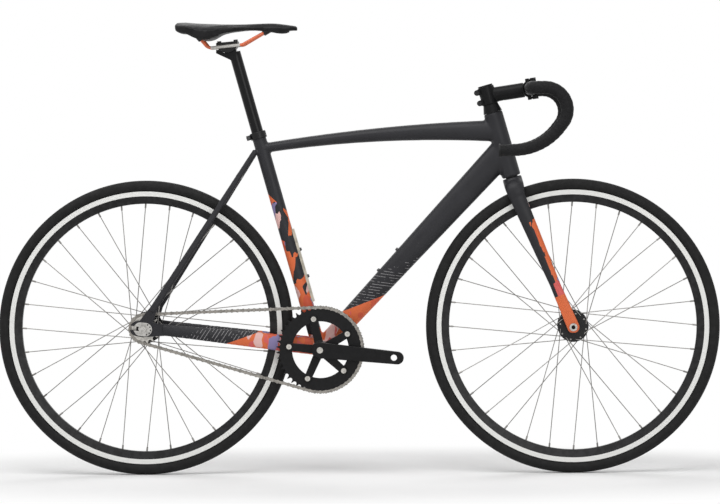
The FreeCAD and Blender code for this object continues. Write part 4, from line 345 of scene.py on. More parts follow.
def shard_colours(tree, place, colours, size):
    """Angular patches of the warm colours, a generic design, and a random share for each patch."""
    slanted = add(tree, "Mapping", None, {"Vector": place, "Rotation": (0.4, 0.6, 0.5),
                                          "Scale": (1.0, 0.6, 0.45)})
    cell = add(tree, "TexVoronoi", {"distance": "MANHATTAN"}, {"Vector": slanted, "Scale": 1.0 / size},
               "Color")
    pick = add(tree, "SeparateColor", None, {0: cell}).node
    orange = linear(colours.orange)
    stops = [(0.0, orange), (0.46, linear(colours.coral)), (0.62, linear(colours.rose)),
             (0.74, orange), (0.84, linear(colours.lilac)), (0.92, linear(colours.blush))]
    colour = add(tree, "ValToRGB", {"stops": stops, "steps": "CONSTANT"}, {"Fac": pick.outputs["Red"]})
    return colour, pick.outputs["Green"]


def satin_coat(tree, shader, place, colour):
    """The faint orange peel and sheen changes of a sprayed satin coat."""
    peel = add(tree, "TexNoise", None, {"Vector": place, "Scale": 1.0 / (2.4 * MM), "Detail": 2.0})
    rough = grain(tree, place, 30 * MM, PAINT_ROUGHNESS - 0.05, PAINT_ROUGHNESS + 0.06)
    coated(tree, shader, colour, rough, peel, 0.12, 0.1 * MM)


def frame_paint(colours):
    """Satin polyester powder coat: soft wide highlights over a dark charcoal, with warm painted zones."""
    made, tree, shader, place = new_material("satin_powder_coat", {"Specular IOR Level": PAINT_GLOSS})
    shards, share = shard_colours(tree, place, colours, FRAME_PATCH)
    seat = along(tree, place, SEAT_FOOT, SEAT_UP)
    seat_across = along(tree, place, SEAT_FOOT, SEAT_AHEAD)
    down = along(tree, place, BRACKET, DOWN_TUBE_AHEAD)
    down_across = along(tree, place, BRACKET, DOWN_TUBE_ABOVE)
    stay = along(tree, place, BRACKET, STAY_BACK)
    stay_across = along(tree, place, BRACKET, STAY_ABOVE)

    def zone(reach, across, start, end, half, slope):
        """A stretch of one tube with slanted ends."""
        tilted = add(tree, "Math", {"operation": "MULTIPLY_ADD"}, {0: across, 1: slope, 2: reach})
        return add(tree, "Math", {"operation": "MULTIPLY"},
                   {0: band(tree, tilted, start, end), 1: band(tree, across, -half, half)})

    # Patches stand apart on the seat tube, and close together on the down tube and the stays
    apart = add(tree, "Math", {"operation": "GREATER_THAN"}, {0: share, 1: SEAT_DARK_SHARE})
    seat_zone = add(tree, "Math", {"operation": "MULTIPLY"},
                    {0: zone(seat, seat_across, *SEAT_ZONE), 1: apart})
    painted = add(tree, "Math", {"operation": "MAXIMUM"},
                  {0: seat_zone, 1: zone(down, down_across, *DOWN_ZONE)})
    painted = add(tree, "Math", {"operation": "MAXIMUM"},
                  {0: painted, 1: zone(stay, stay_across, *STAY_ZONE)})

    def strokes(reach, across, sizes, lean):
        """Broken pale strokes, 8 mm apart and 1.1 mm wide, past the end of a warm zone."""
        slant = add(tree, "Math", {"operation": "MULTIPLY_ADD"}, {0: across, 1: lean, 2: reach})
        line = add(tree, "Math", {"operation": "PINGPONG"}, {0: slant, 1: STROKE_HALF_PITCH})
        thin = add(tree, "Math", {"operation": "LESS_THAN"}, {0: line, 1: STROKE_HALF_WIDTH})
        broken = add(tree, "Math", {"operation": "GREATER_THAN"}, {0: grain(tree, place, 14 * MM), 1: 0.46})
        shown = add(tree, "Math", {"operation": "MULTIPLY"}, {0: thin, 1: broken})
        return add(tree, "Math", {"operation": "MULTIPLY"}, {0: shown, 1: zone(reach, across, *sizes)})

    down_lines = strokes(down, down_across, DOWN_STROKES, 0.7)
    stay_lines = strokes(stay, stay_across, STAY_STROKES, 0.5)
    lines = add(tree, "Math", {"operation": "MAXIMUM"}, {0: down_lines, 1: stay_lines})
    lines = add(tree, "Math", {"operation": "MULTIPLY"}, {0: lines, 1: STROKE_STRENGTH})
    charcoal = linear(colours.paint)
    tone = add(tree, "ValToRGB", {"stops": [(0.3, charcoal), (0.7, scaled(charcoal, 1.15))]},
               {"Fac": grain(tree, place, 60 * MM)})
    ground = add(tree, "Mix", {"data_type": "RGBA"}, {0: lines, 6: tone, 7: linear("C9C6C8")}, 2)
    coat = add(tree, "Mix", {"data_type": "RGBA"}, {0: painted, 6: ground, 7: shards}, 2)
    satin_coat(tree, shader, place, coat)
    return made


def fork_paint(colours):
    """The same satin coat on the fork: charcoal, patches along the front edge and orange at the tips."""
    made, tree, shader, place = new_material("satin_fork_coat", {"Specular IOR Level": PAINT_GLOSS})
    shards, share = shard_colours(tree, place, colours, FORK_PATCH)
    height = along(tree, place, FRONT_AXLE, BLADE_UP)
    ahead = along(tree, place, FRONT_AXLE, BLADE_AHEAD)
    # The patches keep to the front edge as the blade tapers, and end raggedly under the crown
    inset = add(tree, "Math", {"operation": "MULTIPLY_ADD"}, {0: height, 1: FORK_EDGE_TAPER, 2: ahead})
    edge = add(tree, "Math", {"operation": "MULTIPLY_ADD"}, {0: share, 1: FORK_EDGE_RAGGED, 2: inset})
    front = add(tree, "Math", {"operation": "GREATER_THAN"}, {0: edge, 1: FORK_EDGE})
    ragged = add(tree, "Math", {"operation": "MULTIPLY_ADD"}, {0: share, 1: FORK_RUN_RAGGED, 2: height})
    apart = add(tree, "Math", {"operation": "GREATER_THAN"}, {0: share, 1: FORK_DARK_SHARE})
    warm = add(tree, "Math", {"operation": "MULTIPLY"}, {0: front, 1: band(tree, ragged, *FORK_RUN)})
    warm = add(tree, "Math", {"operation": "MULTIPLY"}, {0: warm, 1: apart})
    plain = add(tree, "Math", {"operation": "LESS_THAN"}, {0: height, 1: FORK_TIP})
    upper = add(tree, "Mix", {"data_type": "RGBA"}, {0: warm, 6: linear(colours.paint), 7: shards}, 2)
    coat = add(tree, "Mix", {"data_type": "RGBA"}, {0: plain, 6: upper, 7: linear(colours.orange)}, 2)
    satin_coat(tree, shader, place, coat)
    return made


def black_alloy(colours, name, roughness, gloss=0.25):
    """Anodised aluminium: a thin dark glassy skin on metal, with a fine blasted grain."""
    made, tree, shader, place = new_material(name, {"Specular IOR Level": gloss})
    dark = linear(colours.black)
    tone = add(tree, "ValToRGB", {"stops": [(0.35, dark), (0.75, scaled(dark, 1.35))]},
               {"Fac": grain(tree, place, 9 * MM)})
    blasted = add(tree, "TexNoise", None,
                  {"Vector": place, "Scale": 1.0 / (0.8 * MM), "Detail": GRAIN_DETAIL})
    rough = grain(tree, place, 14 * MM, roughness - 0.05, roughness + 0.05)
    coated(tree, shader, tone, rough, blasted, 0.15, 0.05 * MM)
    return made


def bare_metal(name, hex_colour, roughness, size, metallic=1.0):
    """Plated or stainless steel and bare alloy: bright, with drawn streaks and a little dirt."""
    made, tree, shader, place = new_material(name, {"Metallic": metallic})
    bright = linear(hex_colour)
    tone = add(tree, "ValToRGB", {"stops": [(0.2, scaled(bright, 0.72)), (0.6, bright)]},
               {"Fac": grain(tree, place, size * 4)})
    fine = add(tree, "TexNoise", None, {"Vector": place, "Scale": 1.0 / size, "Detail": 4.0})
    rough = grain(tree, place, size * 2, roughness - 0.08, roughness + 0.1)
    coated(tree, shader, tone, rough, fine, 0.12, 0.04 * MM)
    return made


def socket_steel():
    """Plated axle bolts: a bright turned rim round a socket painted dark as shade."""
    made, tree, shader, place = new_material("plated_socket_steel", {"Metallic": 1.0})
    radius = from_axle(tree, place, FRONT_AXLE)[0]
    bright = add(tree, "ValToRGB", {"stops": [(0.2, linear("8F8D89")), (0.7, linear("B5B2AD"))]},
                 {"Fac": grain(tree, place, 3 * MM)})
    # The socket inside 4.6 mm is painted dark: painted shade in the hollow.
    hollow = add(tree, "Math", {"operation": "LESS_THAN"}, {0: radius, 1: 4.6 * MM})
    coat = add(tree, "Mix", {"data_type": "RGBA"}, {0: hollow, 6: bright, 7: linear("1D1C1B")}, 2)
    turned = ripple(tree, radius, 0.5 * MM)
    coated(tree, shader, coat, grain(tree, place, 4 * MM, 0.28, 0.4), turned, 0.1, 0.04 * MM)
    return made


def chain_steel():
    """Oiled chain steel: grey outer plates over darker inner plates and rollers."""
    made, tree, shader, place = new_material("oiled_chain_steel", {"Metallic": 1.0})
    y = add(tree, "SeparateXYZ", None, {0: place}, "Y")
    inward = add(tree, "Math", {"operation": "ADD"}, {0: y, 1: CHAINLINE})
    inward = add(tree, "Math", {"operation": "ABSOLUTE"}, {0: inward})
    # Inner plates and rollers, within 3.2 mm of the chain line, are drawn darker than the outer plates.
    outer = add(tree, "Math", {"operation": "GREATER_THAN"}, {0: inward, 1: 3.2 * MM})
    oil = grain(tree, place, 5 * MM)
    plate = add(tree, "ValToRGB", {"stops": [(0.2, linear("7C7974")), (0.7, linear("99958F"))]},
                {"Fac": oil})
    roller = add(tree, "ValToRGB", {"stops": [(0.2, linear("33312E")), (0.7, linear("4C4945"))]},
                 {"Fac": oil})
    coat = add(tree, "Mix", {"data_type": "RGBA"}, {0: outer, 6: roller, 7: plate}, 2)
    fine = add(tree, "TexNoise", None, {"Vector": place, "Scale": 1.0 / (1.2 * MM), "Detail": GRAIN_DETAIL})
    coated(tree, shader, coat, grain(tree, place, 4 * MM, 0.3, 0.46), fine, 0.12, 0.04 * MM)
    return made


def rim_alloy(colours, axle, sizes, name):
    """Black anodised rim with two machined brake tracks: fine turned rings on bare metal."""
    made, tree, shader, place = new_material(name, {"Specular IOR Level": 0.25})
    radius, across = from_axle(tree, place, axle)[:2]
    track = band(tree, radius, sizes.track_low, sizes.rim_edge + 1 * MM)
    outside = add(tree, "Math", {"operation": "GREATER_THAN"}, {0: across, 1: 9.6 * MM})
    track = add(tree, "Math", {"operation": "MULTIPLY"}, {0: track, 1: outside})
    # Turning marks are drawn 0.8 mm apart so that they show
    rings = ripple(tree, radius, 0.4 * MM)
    bare = linear(colours.track)
    marked = add(tree, "ValToRGB", {"stops": [(0.0, scaled(bare, 0.9)), (1.0, bare)]}, {"Fac": rings})
    dark = add(tree, "ValToRGB", {"stops": [(0.3, linear(colours.black)), (0.7, linear("1F1F20"))]},
               {"Fac": grain(tree, place, 12 * MM)})
    coat = add(tree, "Mix", {"data_type": "RGBA"}, {0: track, 6: dark, 7: marked}, 2)
    coated(tree, shader, coat, grain(tree, place, 10 * MM, 0.34, 0.44), rings, 0.08, 0.05 * MM)
    return made


def tyre_rubber(colours, axle, sizes, name):
    """Moulded rubber: matte and dusty, with slanted shoulder grooves holding painted shade, and fine side
    wall ribs.
    """
    made, tree, shader, place = new_material(name, {"Specular IOR Level": 0.16})
    radius, across, angle = from_axle(tree, place, axle)
    arc = add(tree, "Math", {"operation": "MULTIPLY"}, {0: angle, 1: sizes.tyre_radius})
    slant = add(tree, "Math", {"operation": "MULTIPLY_ADD"}, {0: across, 1: 1.2, 2: arc})
    # Shoulder grooves every 9 mm, 1.6 mm wide
    groove = add(tree, "Math", {"operation": "PINGPONG"}, {0: slant, 1: 4.5 * MM})
    groove = add(tree, "Math", {"operation": "LESS_THAN"}, {0: groove, 1: 0.8 * MM})
    shoulder = band(tree, across, 3.5 * MM, 9.0 * MM)
    tread = add(tree, "Math", {"operation": "GREATER_THAN"}, {0: radius, 1: sizes.tyre_radius - 8 * MM})
    groove = add(tree, "Math", {"operation": "MULTIPLY"}, {0: groove, 1: shoulder})
    groove = add(tree, "Math", {"operation": "MULTIPLY"}, {0: groove, 1: tread})
    ribs = ripple(tree, radius, 0.7 * MM, 0.18)
    height = add(tree, "Math", {"operation": "SUBTRACT"}, {0: ribs, 1: groove})
    rubber = linear(colours.rubber)
    tone = add(tree, "ValToRGB", {"stops": [(0.3, rubber), (0.8, scaled(rubber, 1.3))]},
               {"Fac": grain(tree, place, 16 * MM)})
    # The shoulder grooves are drawn darker: painted shade in the grooves.
    groove_shaded_tone = add(tree, "Mix", {"data_type": "RGBA"}, {0: groove, 6: tone, 7: linear("121212")}, 2)
    coated(tree, shader, groove_shaded_tone, grain(tree, place, 7 * MM, 0.58, 0.74), height, 0.5, 0.6 * MM)
    return made


def tape_foam():
    """Embossed foam tape: matte, with small round dimples pressed into it and painted shade darkening their
    middles.
    """
    made, tree, shader, place = new_material("embossed_foam_tape", {"Specular IOR Level": 0.1})
    dimple = add(tree, "TexVoronoi", None, {"Vector": place, "Scale": 1.0 / (3.2 * MM)}, "Distance")
    # The dimples' middles are drawn darker: painted shade in the pressed hollows.
    tone = add(tree, "ValToRGB", {"stops": [(0.1, linear("161617")), (0.6, linear("202021"))]},
               {"Fac": dimple})
    coated(tree, shader, tone, grain(tree, place, 5 * MM, 0.5, 0.66), dimple, 0.35, 0.4 * MM)
    return made


def moulded_plastic():
    """Moulded nylon: black with a fine sparked texture."""
    made, tree, shader, place = new_material("moulded_nylon", {"Specular IOR Level": 0.25})
    spark = add(tree, "TexNoise", None,
                {"Vector": place, "Scale": 1.0 / (0.9 * MM), "Detail": GRAIN_DETAIL})
    tone = add(tree, "ValToRGB", {"stops": [(0.3, linear("101011")), (0.7, linear("1A1A1B"))]},
               {"Fac": grain(tree, place, 6 * MM)})
    coated(tree, shader, tone, grain(tree, place, 9 * MM, 0.46, 0.6), spark, 0.3, 0.1 * MM)
    return made


def rail_coat(colours):
    """Enamelled steel rails: orange at both ends and bare where the clamp grips them."""
    made, tree, shader, place = new_material("enamelled_rail", {"Specular IOR Level": 0.4})
    x = add(tree, "SeparateXYZ", None, {0: place}, "X")
    low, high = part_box("saddle_yoke")
    bare = band(tree, x, low.x - 12 * MM, high.x + 5 * MM)
    enamel = linear(colours.rail)
    orange = add(tree, "ValToRGB", {"stops": [(0.2, scaled(enamel, 0.85)), (0.7, enamel)]},
                 {"Fac": grain(tree, place, 12 * MM)})
    coat = add(tree, "Mix", {"data_type": "RGBA"}, {0: bare, 6: orange, 7: linear("B9B7B2")}, 2)
    peel = add(tree, "TexNoise", None, {"Vector": place, "Scale": 1.0 / (1.5 * MM), "Detail": 2.0})
    coated(tree, shader, coat, grain(tree, place, 8 * MM, 0.26, 0.4), peel, 0.1, 0.05 * MM)
    return made


def saddle_leather():
    """Coated synthetic leather: a low sheen, a welded seamline round the shoulder drawn lighter as a
    painted highlight, and a 1.3 mm pebble grain.
    """
    made, tree, shader, place = new_material(
        "synthetic_leather", {"Specular IOR Level": 0.14, "Sheen Weight": 0.02})
    pebble = add(tree, "TexVoronoi", {"feature": "SMOOTH_F1"}, {"Vector": place, "Scale": 1.0 / (1.3 * MM)},
                 "Distance")
    turn = add(tree, "Attribute", {"attribute_name": "turn"}, output="Fac")
    # A band round the shoulder is pressed in as a seamline and drawn lighter grey: a painted highlight
    # along the curved shoulder.
    seam_and_highlight = band(tree, turn, 0.24, 0.34)
    tone = add(tree, "ValToRGB", {"stops": [(0.25, linear("151516")), (0.75, linear("1E1E1F"))]},
               {"Fac": grain(tree, place, 24 * MM)})
    coat = add(tree, "Mix", {"data_type": "RGBA"}, {0: seam_and_highlight, 6: tone, 7: linear("3A3A3B")}, 2)
    pressed = add(tree, "Math", {"operation": "SUBTRACT"}, {0: pebble, 1: seam_and_highlight})
    coated(tree, shader, coat, grain(tree, place, 18 * MM, 0.44, 0.58), pressed, 0.3, 0.2 * MM)
    return made


# Mesh helpers

def new_object(name, bm):
    """A mesh object at the origin, made from a bmesh that is then freed."""
    mesh = bpy.data.meshes.new(name)
    bm.to_mesh(mesh)
    bm.free()
    made = bpy.data.objects.new(name, mesh)
    bpy.context.scene.collection.objects.link(made)
    return made


def merged_copy(node):
    """A CAD node's mesh as a bmesh with its loose triangles joined."""
    bm = bmesh.new()
    bm.from_mesh(NODES[node].data)
    bmesh.ops.remove_doubles(bm, verts=bm.verts, dist=MERGE_DISTANCE)
    return bm


def hull_slices(target, node, axis, count):
    """Adds a hollow CAD tube to the target as solid convex slices along one axis."""
    low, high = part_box(node)
    step = (high[axis] - low[axis]) / count
    normal = Vector([1.0 if index == axis else 0.0 for index in range(3)])
    overlap = min(step * SLICE_OVERLAP_SHARE, SLICE_OVERLAP_LIMIT)
    for index in range(count):
        bm = merged_copy(node)
        start = normal * (low[axis] + step * index - overlap)
        end = normal * (low[axis] + step * (index + 1) + overlap)
        for point, outward in ((start, -normal), (end, normal)):
            geometry = list(bm.verts) + list(bm.edges) + list(bm.faces)
            bmesh.ops.bisect_plane(bm, geom=geometry, plane_co=point, plane_no=outward, clear_outer=True)
        bmesh.ops.delete(bm, geom=list(bm.edges), context="EDGES_FACES")
        bmesh.ops.convex_hull(bm, input=list(bm.verts))
        bmesh.ops.delete(bm, geom=[vert for vert in bm.verts if not vert.link_faces], context="VERTS")
        bmesh.ops.recalc_face_normals(bm, faces=list(bm.faces))
        part = bpy.data.meshes.new("slice")
        bm.to_mesh(part)
        bm.free()
        target.from_mesh(part)
        bpy.data.meshes.remove(part)


def apply_modifiers(piece):
    """Keeps the piece's evaluated shape as its own mesh."""
    graph = bpy.context.evaluated_depsgraph_get()
    shaped = bpy.data.meshes.new_from_object(piece.evaluated_get(graph))
    old = piece.data
    piece.modifiers.clear()
    piece.data = shaped
    bpy.data.meshes.remove(old)


def weld(piece, voxel, rounds):
    """Turns overlapping solids into one skin with soft joins."""
    remesh = piece.modifiers.new("skin", "REMESH")
    remesh.mode = "VOXEL"
    remesh.voxel_size = voxel
    remesh.use_smooth_shade = True
    smooth = piece.modifiers.new("soften", "SMOOTH")
    smooth.factor = SOFTEN_FACTOR
    smooth.iterations = rounds
    apply_modifiers(piece)


def bore(piece, start, end, radius):
    """Cuts a round hole along a line."""
    run = end - start
    turn = run.to_track_quat("Z", "Y").to_matrix().to_4x4()
    bm = bmesh.new()
    bmesh.ops.create_cone(bm, cap_ends=True, segments=BORE_SEGMENTS, radius1=radius, radius2=radius,
                          depth=run.length, matrix=Matrix.Translation((start + end) / 2) @ turn)
    drill = new_object("drill", bm)
    cut = piece.modifiers.new("bore", "BOOLEAN")
    cut.operation = "DIFFERENCE"
    cut.solver = "EXACT"
    cut.object = drill
    apply_modifiers(piece)
    bpy.data.objects.remove(drill)


def shade(piece, material, angle=None):
    """Gives a piece its finish, with smooth faces and, if asked, sharp edges over an angle."""
    piece.data.materials.clear()
    piece.data.materials.append(material)
    bm = bmesh.new()
    bm.from_mesh(piece.data)
    for face in bm.faces:
        face.smooth = True
    if angle is not None:
        for edge in bm.edges:
            edge.smooth = len(edge.link_faces) != 2 or edge.calc_face_angle(0.0) < angle
    bm.to_mesh(piece.data)
    bm.free()


def dress(nodes, material):
    """Gives CAD nodes that keep their own shape a finish."""
    for name in nodes:
        slots = NODES[name].data.materials
        slots.clear()
        slots.append(material)


def softened(node, voxel, rounds, material, body):
    """A forging: the CAD shape with its edges rounded off, in place of the node."""
    piece = new_object(node + "_forging", merged_copy(node))
    weld(piece, voxel, rounds)
    shade(piece, material)
    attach(piece, body)
    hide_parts(node)


# Pieces

class BIKE_OT_frame(bpy.types.Operator):
    """Welds the frame tubes into one painted skin"""
    bl_idname = "bike.frame"
    bl_label = "Frame"
    SOFT_ROUNDS = 9
    SEAT_BORE_START = 40 * MM
    BORE_OVERRUN = 20 * MM
    SHELL_BORE_HALF = 60 * MM
    SHARP_ANGLE = math.radians(50)

    def execute(self, context):
        scene = context.scene
        sizes = scene.bike_frame
        # The axis to slice along and the number of slices
        tubes = {"head_tube": (2, 1), "top_tube": (0, 10), "down_tube": (0, 1), "seat_tube": (2, 1),
                 "bottom_bracket_shell": (1, 1), "chainstay_left": (0, 6), "chainstay_right": (0, 6),
                 "seatstay_left": (2, 1), "seatstay_right": (2, 1), "stay_bridges": (2, 2)}
        bm = bmesh.new()
        for node, (axis, count) in tubes.items():
            hull_slices(bm, node, axis, count)
        skin = new_object("frame_skin", bm)
        weld(skin, sizes.frame_voxel, self.SOFT_ROUNDS)
        low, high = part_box("head_tube")
        lean = STEER_UP * ((high.z - low.z) / STEER_UP.z)
        head_middle = STEER_FOOT + STEER_UP * (((high.z + low.z) / 2 - STEER_FOOT.z) / STEER_UP.z)
        bore(skin, head_middle - lean, head_middle + lean, sizes.head_bore)
        seat_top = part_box("seat_tube")[1].z
        reach = (seat_top - SEAT_FOOT.z) / SEAT_UP.z
        bore(skin, SEAT_FOOT + SEAT_UP * self.SEAT_BORE_START,
             SEAT_FOOT + SEAT_UP * (reach + self.BORE_OVERRUN), sizes.seat_bore)
        half_shell = SIDE * self.SHELL_BORE_HALF
        bore(skin, BRACKET - half_shell, BRACKET + half_shell, sizes.shell_bore)
        paint = frame_paint(scene.bike_colours)
        shade(skin, paint, self.SHARP_ANGLE)
        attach(skin, "frame")
        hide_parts(*tubes)
        dress(["dropout_left", "dropout_right"], paint)
        return {"FINISHED"}


class BIKE_OT_fork(bpy.types.Operator):
    """Welds the fork crown and blades into one painted skin"""
    bl_idname = "bike.fork"
    bl_label = "Fork"
    SOFT_ROUNDS = 7

    def execute(self, context):
        scene = context.scene
        # The axis to slice along and the number of slices
        legs = {"fork_crown": (1, 14), "fork_blade_left": (2, 3), "fork_blade_right": (2, 3)}
        bm = bmesh.new()
        for node, (axis, count) in legs.items():
            hull_slices(bm, node, axis, count)
        skin = new_object("fork_skin", bm)
        weld(skin, scene.bike_frame.fork_voxel, self.SOFT_ROUNDS)
        shade(skin, fork_paint(scene.bike_colours))
        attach(skin, "steering")
        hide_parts(*legs)
        return {"FINISHED"}


class BIKE_OT_tyres(bpy.types.Operator):
    """Spins a round tyre for each wheel"""
    bl_idname = "bike.tyres"
    bl_label = "Tyres"
    CASING_POINTS = 36
    LIP_INSET = 1.5 * MM
    BEAD_RISE = 0.5 * MM
    BEAD_HALF_WIDTH = 7.6 * MM
    SEAM_MERGE = 0.05 * MM

    def execute(self, context):
        scene = context.scene
        sizes = scene.bike_wheel
        for name, body, axle in (("front", "front_wheel", FRONT_AXLE), ("rear", "rear_wheel", REAR_AXLE)):
            bm = bmesh.new()
            turn = Matrix.Translation(axle + Vector((0.0, 0.0, sizes.tyre_radius - sizes.tyre_half_width)))
            ring = bmesh.ops.create_circle(bm, segments=self.CASING_POINTS, radius=sizes.tyre_half_width,
                                           matrix=turn @ Matrix.Rotation(math.pi / 2, 4, "Y"))
            edge = axle.z + sizes.rim_edge
            bead = self.BEAD_HALF_WIDTH
            for vert in ring["verts"]:
                vert.co.z = max(vert.co.z, edge - self.LIP_INSET)
                if vert.co.z < edge + self.BEAD_RISE:
                    vert.co.y = max(-bead, min(bead, vert.co.y))
            bmesh.ops.spin(bm, geom=list(bm.verts) + list(bm.edges), cent=axle, axis=SIDE,
                           angle=2 * math.pi, steps=sizes.spin_steps, use_merge=True)
            bmesh.ops.remove_doubles(bm, verts=bm.verts, dist=self.SEAM_MERGE)
            bmesh.ops.recalc_face_normals(bm, faces=list(bm.faces))
            piece = new_object(name + "_tyre_casing", bm)
            shade(piece, tyre_rubber(scene.bike_colours, axle, sizes, name + "_tyre_rubber"))
            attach(piece, body)
            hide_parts(name + "_tyre")
        return {"FINISHED"}


class BIKE_OT_wheels(bpy.types.Operator):
    """Finishes the rims, spokes and hubs"""
    bl_idname = "bike.wheels"
    bl_label = "Wheels"

    def execute(self, context):
        scene = context.scene
        colours = scene.bike_colours
        for name, axle in (("front", FRONT_AXLE), ("rear", REAR_AXLE)):
            dress([name + "_rim"], rim_alloy(colours, axle, scene.bike_wheel, name + "_anodised_rim"))
        dress(["front_spokes", "rear_spokes"], bare_metal("drawn_stainless", "8B8986", 0.34, 24 * MM))
        dress(["front_hub", "rear_hub"], black_alloy(colours, "anodised_hub", 0.34))
        dress(["front_hub_bearings", "rear_hub_bearings", "front_axle", "rear_axle", "rear_axle_nuts",
               "track_end_plates"], bare_metal("plated_steel", "BEBCB8", 0.3, 2 * MM))
        dress(["front_axle_bolts"], socket_steel())
        return {"FINISHED"}


class BIKE_OT_drive(bpy.types.Operator):
    """Finishes the cranks, chainring, chain and sprocket"""
    bl_idname = "bike.drive"
    bl_label = "Drive"

    def execute(self, context):
        scene = context.scene
        voxel = scene.bike_frame.part_voxel
        forged = black_alloy(scene.bike_colours, "forged_black_alloy", 0.36, 0.16)
        softened("crank_right", voxel, CRANK_ROUNDS, forged, "crankset")
        softened("crank_left", voxel, CRANK_ROUNDS, forged, "crankset")
        dress(["chainring"], black_alloy(scene.bike_colours, "machined_black_alloy", 0.4, 0.18))
        dress(["chain"], chain_steel())
        dress(["sprocket", "lockring", "crank_bolts", "chainring_bolts", "bottom_bracket_cups",
               "bottom_bracket_spindle"], bare_metal("nickel_steel", "C4C1BB", 0.28, 2 * MM))
        return {"FINISHED"}


class BIKE_OT_cockpit(bpy.types.Operator):
    """Finishes the stem and bar"""
    bl_idname = "bike.cockpit"
    bl_label = "Stem and bar"

    def execute(self, context):
        scene = context.scene
        voxel = scene.bike_frame.part_voxel
        forged = black_alloy(scene.bike_colours, "forged_stem_alloy", 0.36, 0.12)
        softened("stem", voxel, STEM_ROUNDS, forged, "steering")
        softened("stem_faceplate", voxel, SMALL_ROUNDS, forged, "steering")
        dress(["stem_top_cap", "headset_cover", "fork_steerer", "handlebar"], forged)
        dress(["stem_bolts", "headset_bearings"],
              bare_metal("black_oxide_steel", "2A2A2B", 0.4, 1.5 * MM, 0.6))
        dress(["bar_plugs"], moulded_plastic())
        return {"FINISHED"}


class BIKE_OT_tape(bpy.types.Operator):
    """Wraps foam tape round both drops"""
    bl_idname = "bike.tape"
    bl_label = "Bar tape"
    RING_STEP = 1.6 * MM
    RING_POINTS = 40
    BENDS = (25.0 * MM, 50.0 * MM, 130.0 * MM)
    END_THINNING = 0.12
    EDGE_SHARE = 0.14
    SHARP_ANGLE = math.radians(60)

    def path(self, sizes, side):
        """Evenly spaced points and headings along the bar's middle line, with round bends."""
        bend = self.BENDS[1]
        fall = sizes.drop - sizes.grip_fall
        hook = sizes.reach - bend + bend / math.tan(sizes.leg_slope / 2)
        corners = [Vector((0.0, side * sizes.tape_start, 0.0)),
                   Vector((0.0, side * sizes.half_width, 0.0)),
                   Vector((hook, side * sizes.half_width, 0.0)),
                   Vector((hook - fall / math.tan(sizes.leg_slope), side * sizes.half_width, -fall)),
                   Vector((sizes.reach - sizes.grip, side * sizes.half_width, -sizes.drop))]
        points = []
        last = corners[0]
        for before, corner, after, radius in zip(corners, corners[1:], corners[2:], self.BENDS):
            back = (before - corner).normalized()
            ahead = (after - corner).normalized()
            half_turn = (math.pi - back.angle(ahead)) / 2
            start = corner + back * (radius * math.tan(half_turn))
            inward = (back + ahead).normalized()
            centre = corner + inward * (radius / math.cos(half_turn))
            points += self.straight(last, start)
            turns = max(2, round(2 * half_turn * radius / self.RING_STEP))
            hinge = (corner - before).cross(after - corner).normalized()
            for turn in range(turns):
                spin = Matrix.Rotation(2 * half_turn * turn / turns, 3, hinge)
                points.append((centre + spin @ (start - centre), spin @ (corner - before).normalized()))
            last = corner + ahead * (radius * math.tan(half_turn))
        points += self.straight(last, corners[-1])
        points.append((corners[-1], (corners[-1] - corners[-2]).normalized()))
        return [(BAR_CENTRE + point, heading) for point, heading in points]

    def straight(self, start, end):
        """Evenly spaced points on a line, without its end."""
        count = max(1, round((end - start).length / self.RING_STEP))
        heading = (end - start).normalized()
        return [(start.lerp(end, step / count), heading) for step in range(count)]

    def wrap(self, sizes, side):
        """A tube whose radius steps down once each pitch along a spiral, as overlapped tape does."""
        bm = bmesh.new()
        rings = []
        travelled = 0.0
        path = self.path(sizes, side)
        normal = Vector((0.0, 0.0, 1.0))
        for index, (point, heading) in enumerate(path):
            if index:
                travelled += (point - path[index - 1][0]).length
            normal = (normal - heading * normal.dot(heading)).normalized()
            beside = heading.cross(normal)
            ring = bmesh.ops.create_circle(bm, segments=self.RING_POINTS, radius=1.0)["verts"]
            for number, vert in enumerate(ring):
                angle = 2 * math.pi * number / self.RING_POINTS
                phase = (travelled / sizes.wrap_pitch + side * angle / (2 * math.pi)) % 1.0
                edge = min(phase / self.EDGE_SHARE, 1.0) * (1.0 - phase)
                full = sizes.tape_radius * (1.0 - self.END_THINNING * (index / len(path)) ** 3)
                radius = full - sizes.wrap_step * (1.0 - edge)
                vert.co = point + (normal * math.cos(angle) + beside * math.sin(angle)) * radius
            loop = {edge for vert in ring for edge in vert.link_edges}
            if rings:
                bmesh.ops.bridge_loops(bm, edges=list(loop | rings[-1]))
            rings.append(loop)
        for loop in (rings[0], rings[-1]):
            bmesh.ops.edgeloop_fill(bm, edges=list(loop))
        bmesh.ops.recalc_face_normals(bm, faces=list(bm.faces))
        return bm

    def execute(self, context):
        scene = context.scene
        foam = tape_foam()
        for name, side in (("left", LEFT), ("right", RIGHT)):
            piece = new_object("bar_tape_" + name, self.wrap(scene.bike_bar, side))
            shade(piece, foam, self.SHARP_ANGLE)
            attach(piece, "bar")
        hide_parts("bar_tape")
        return {"FINISHED"}


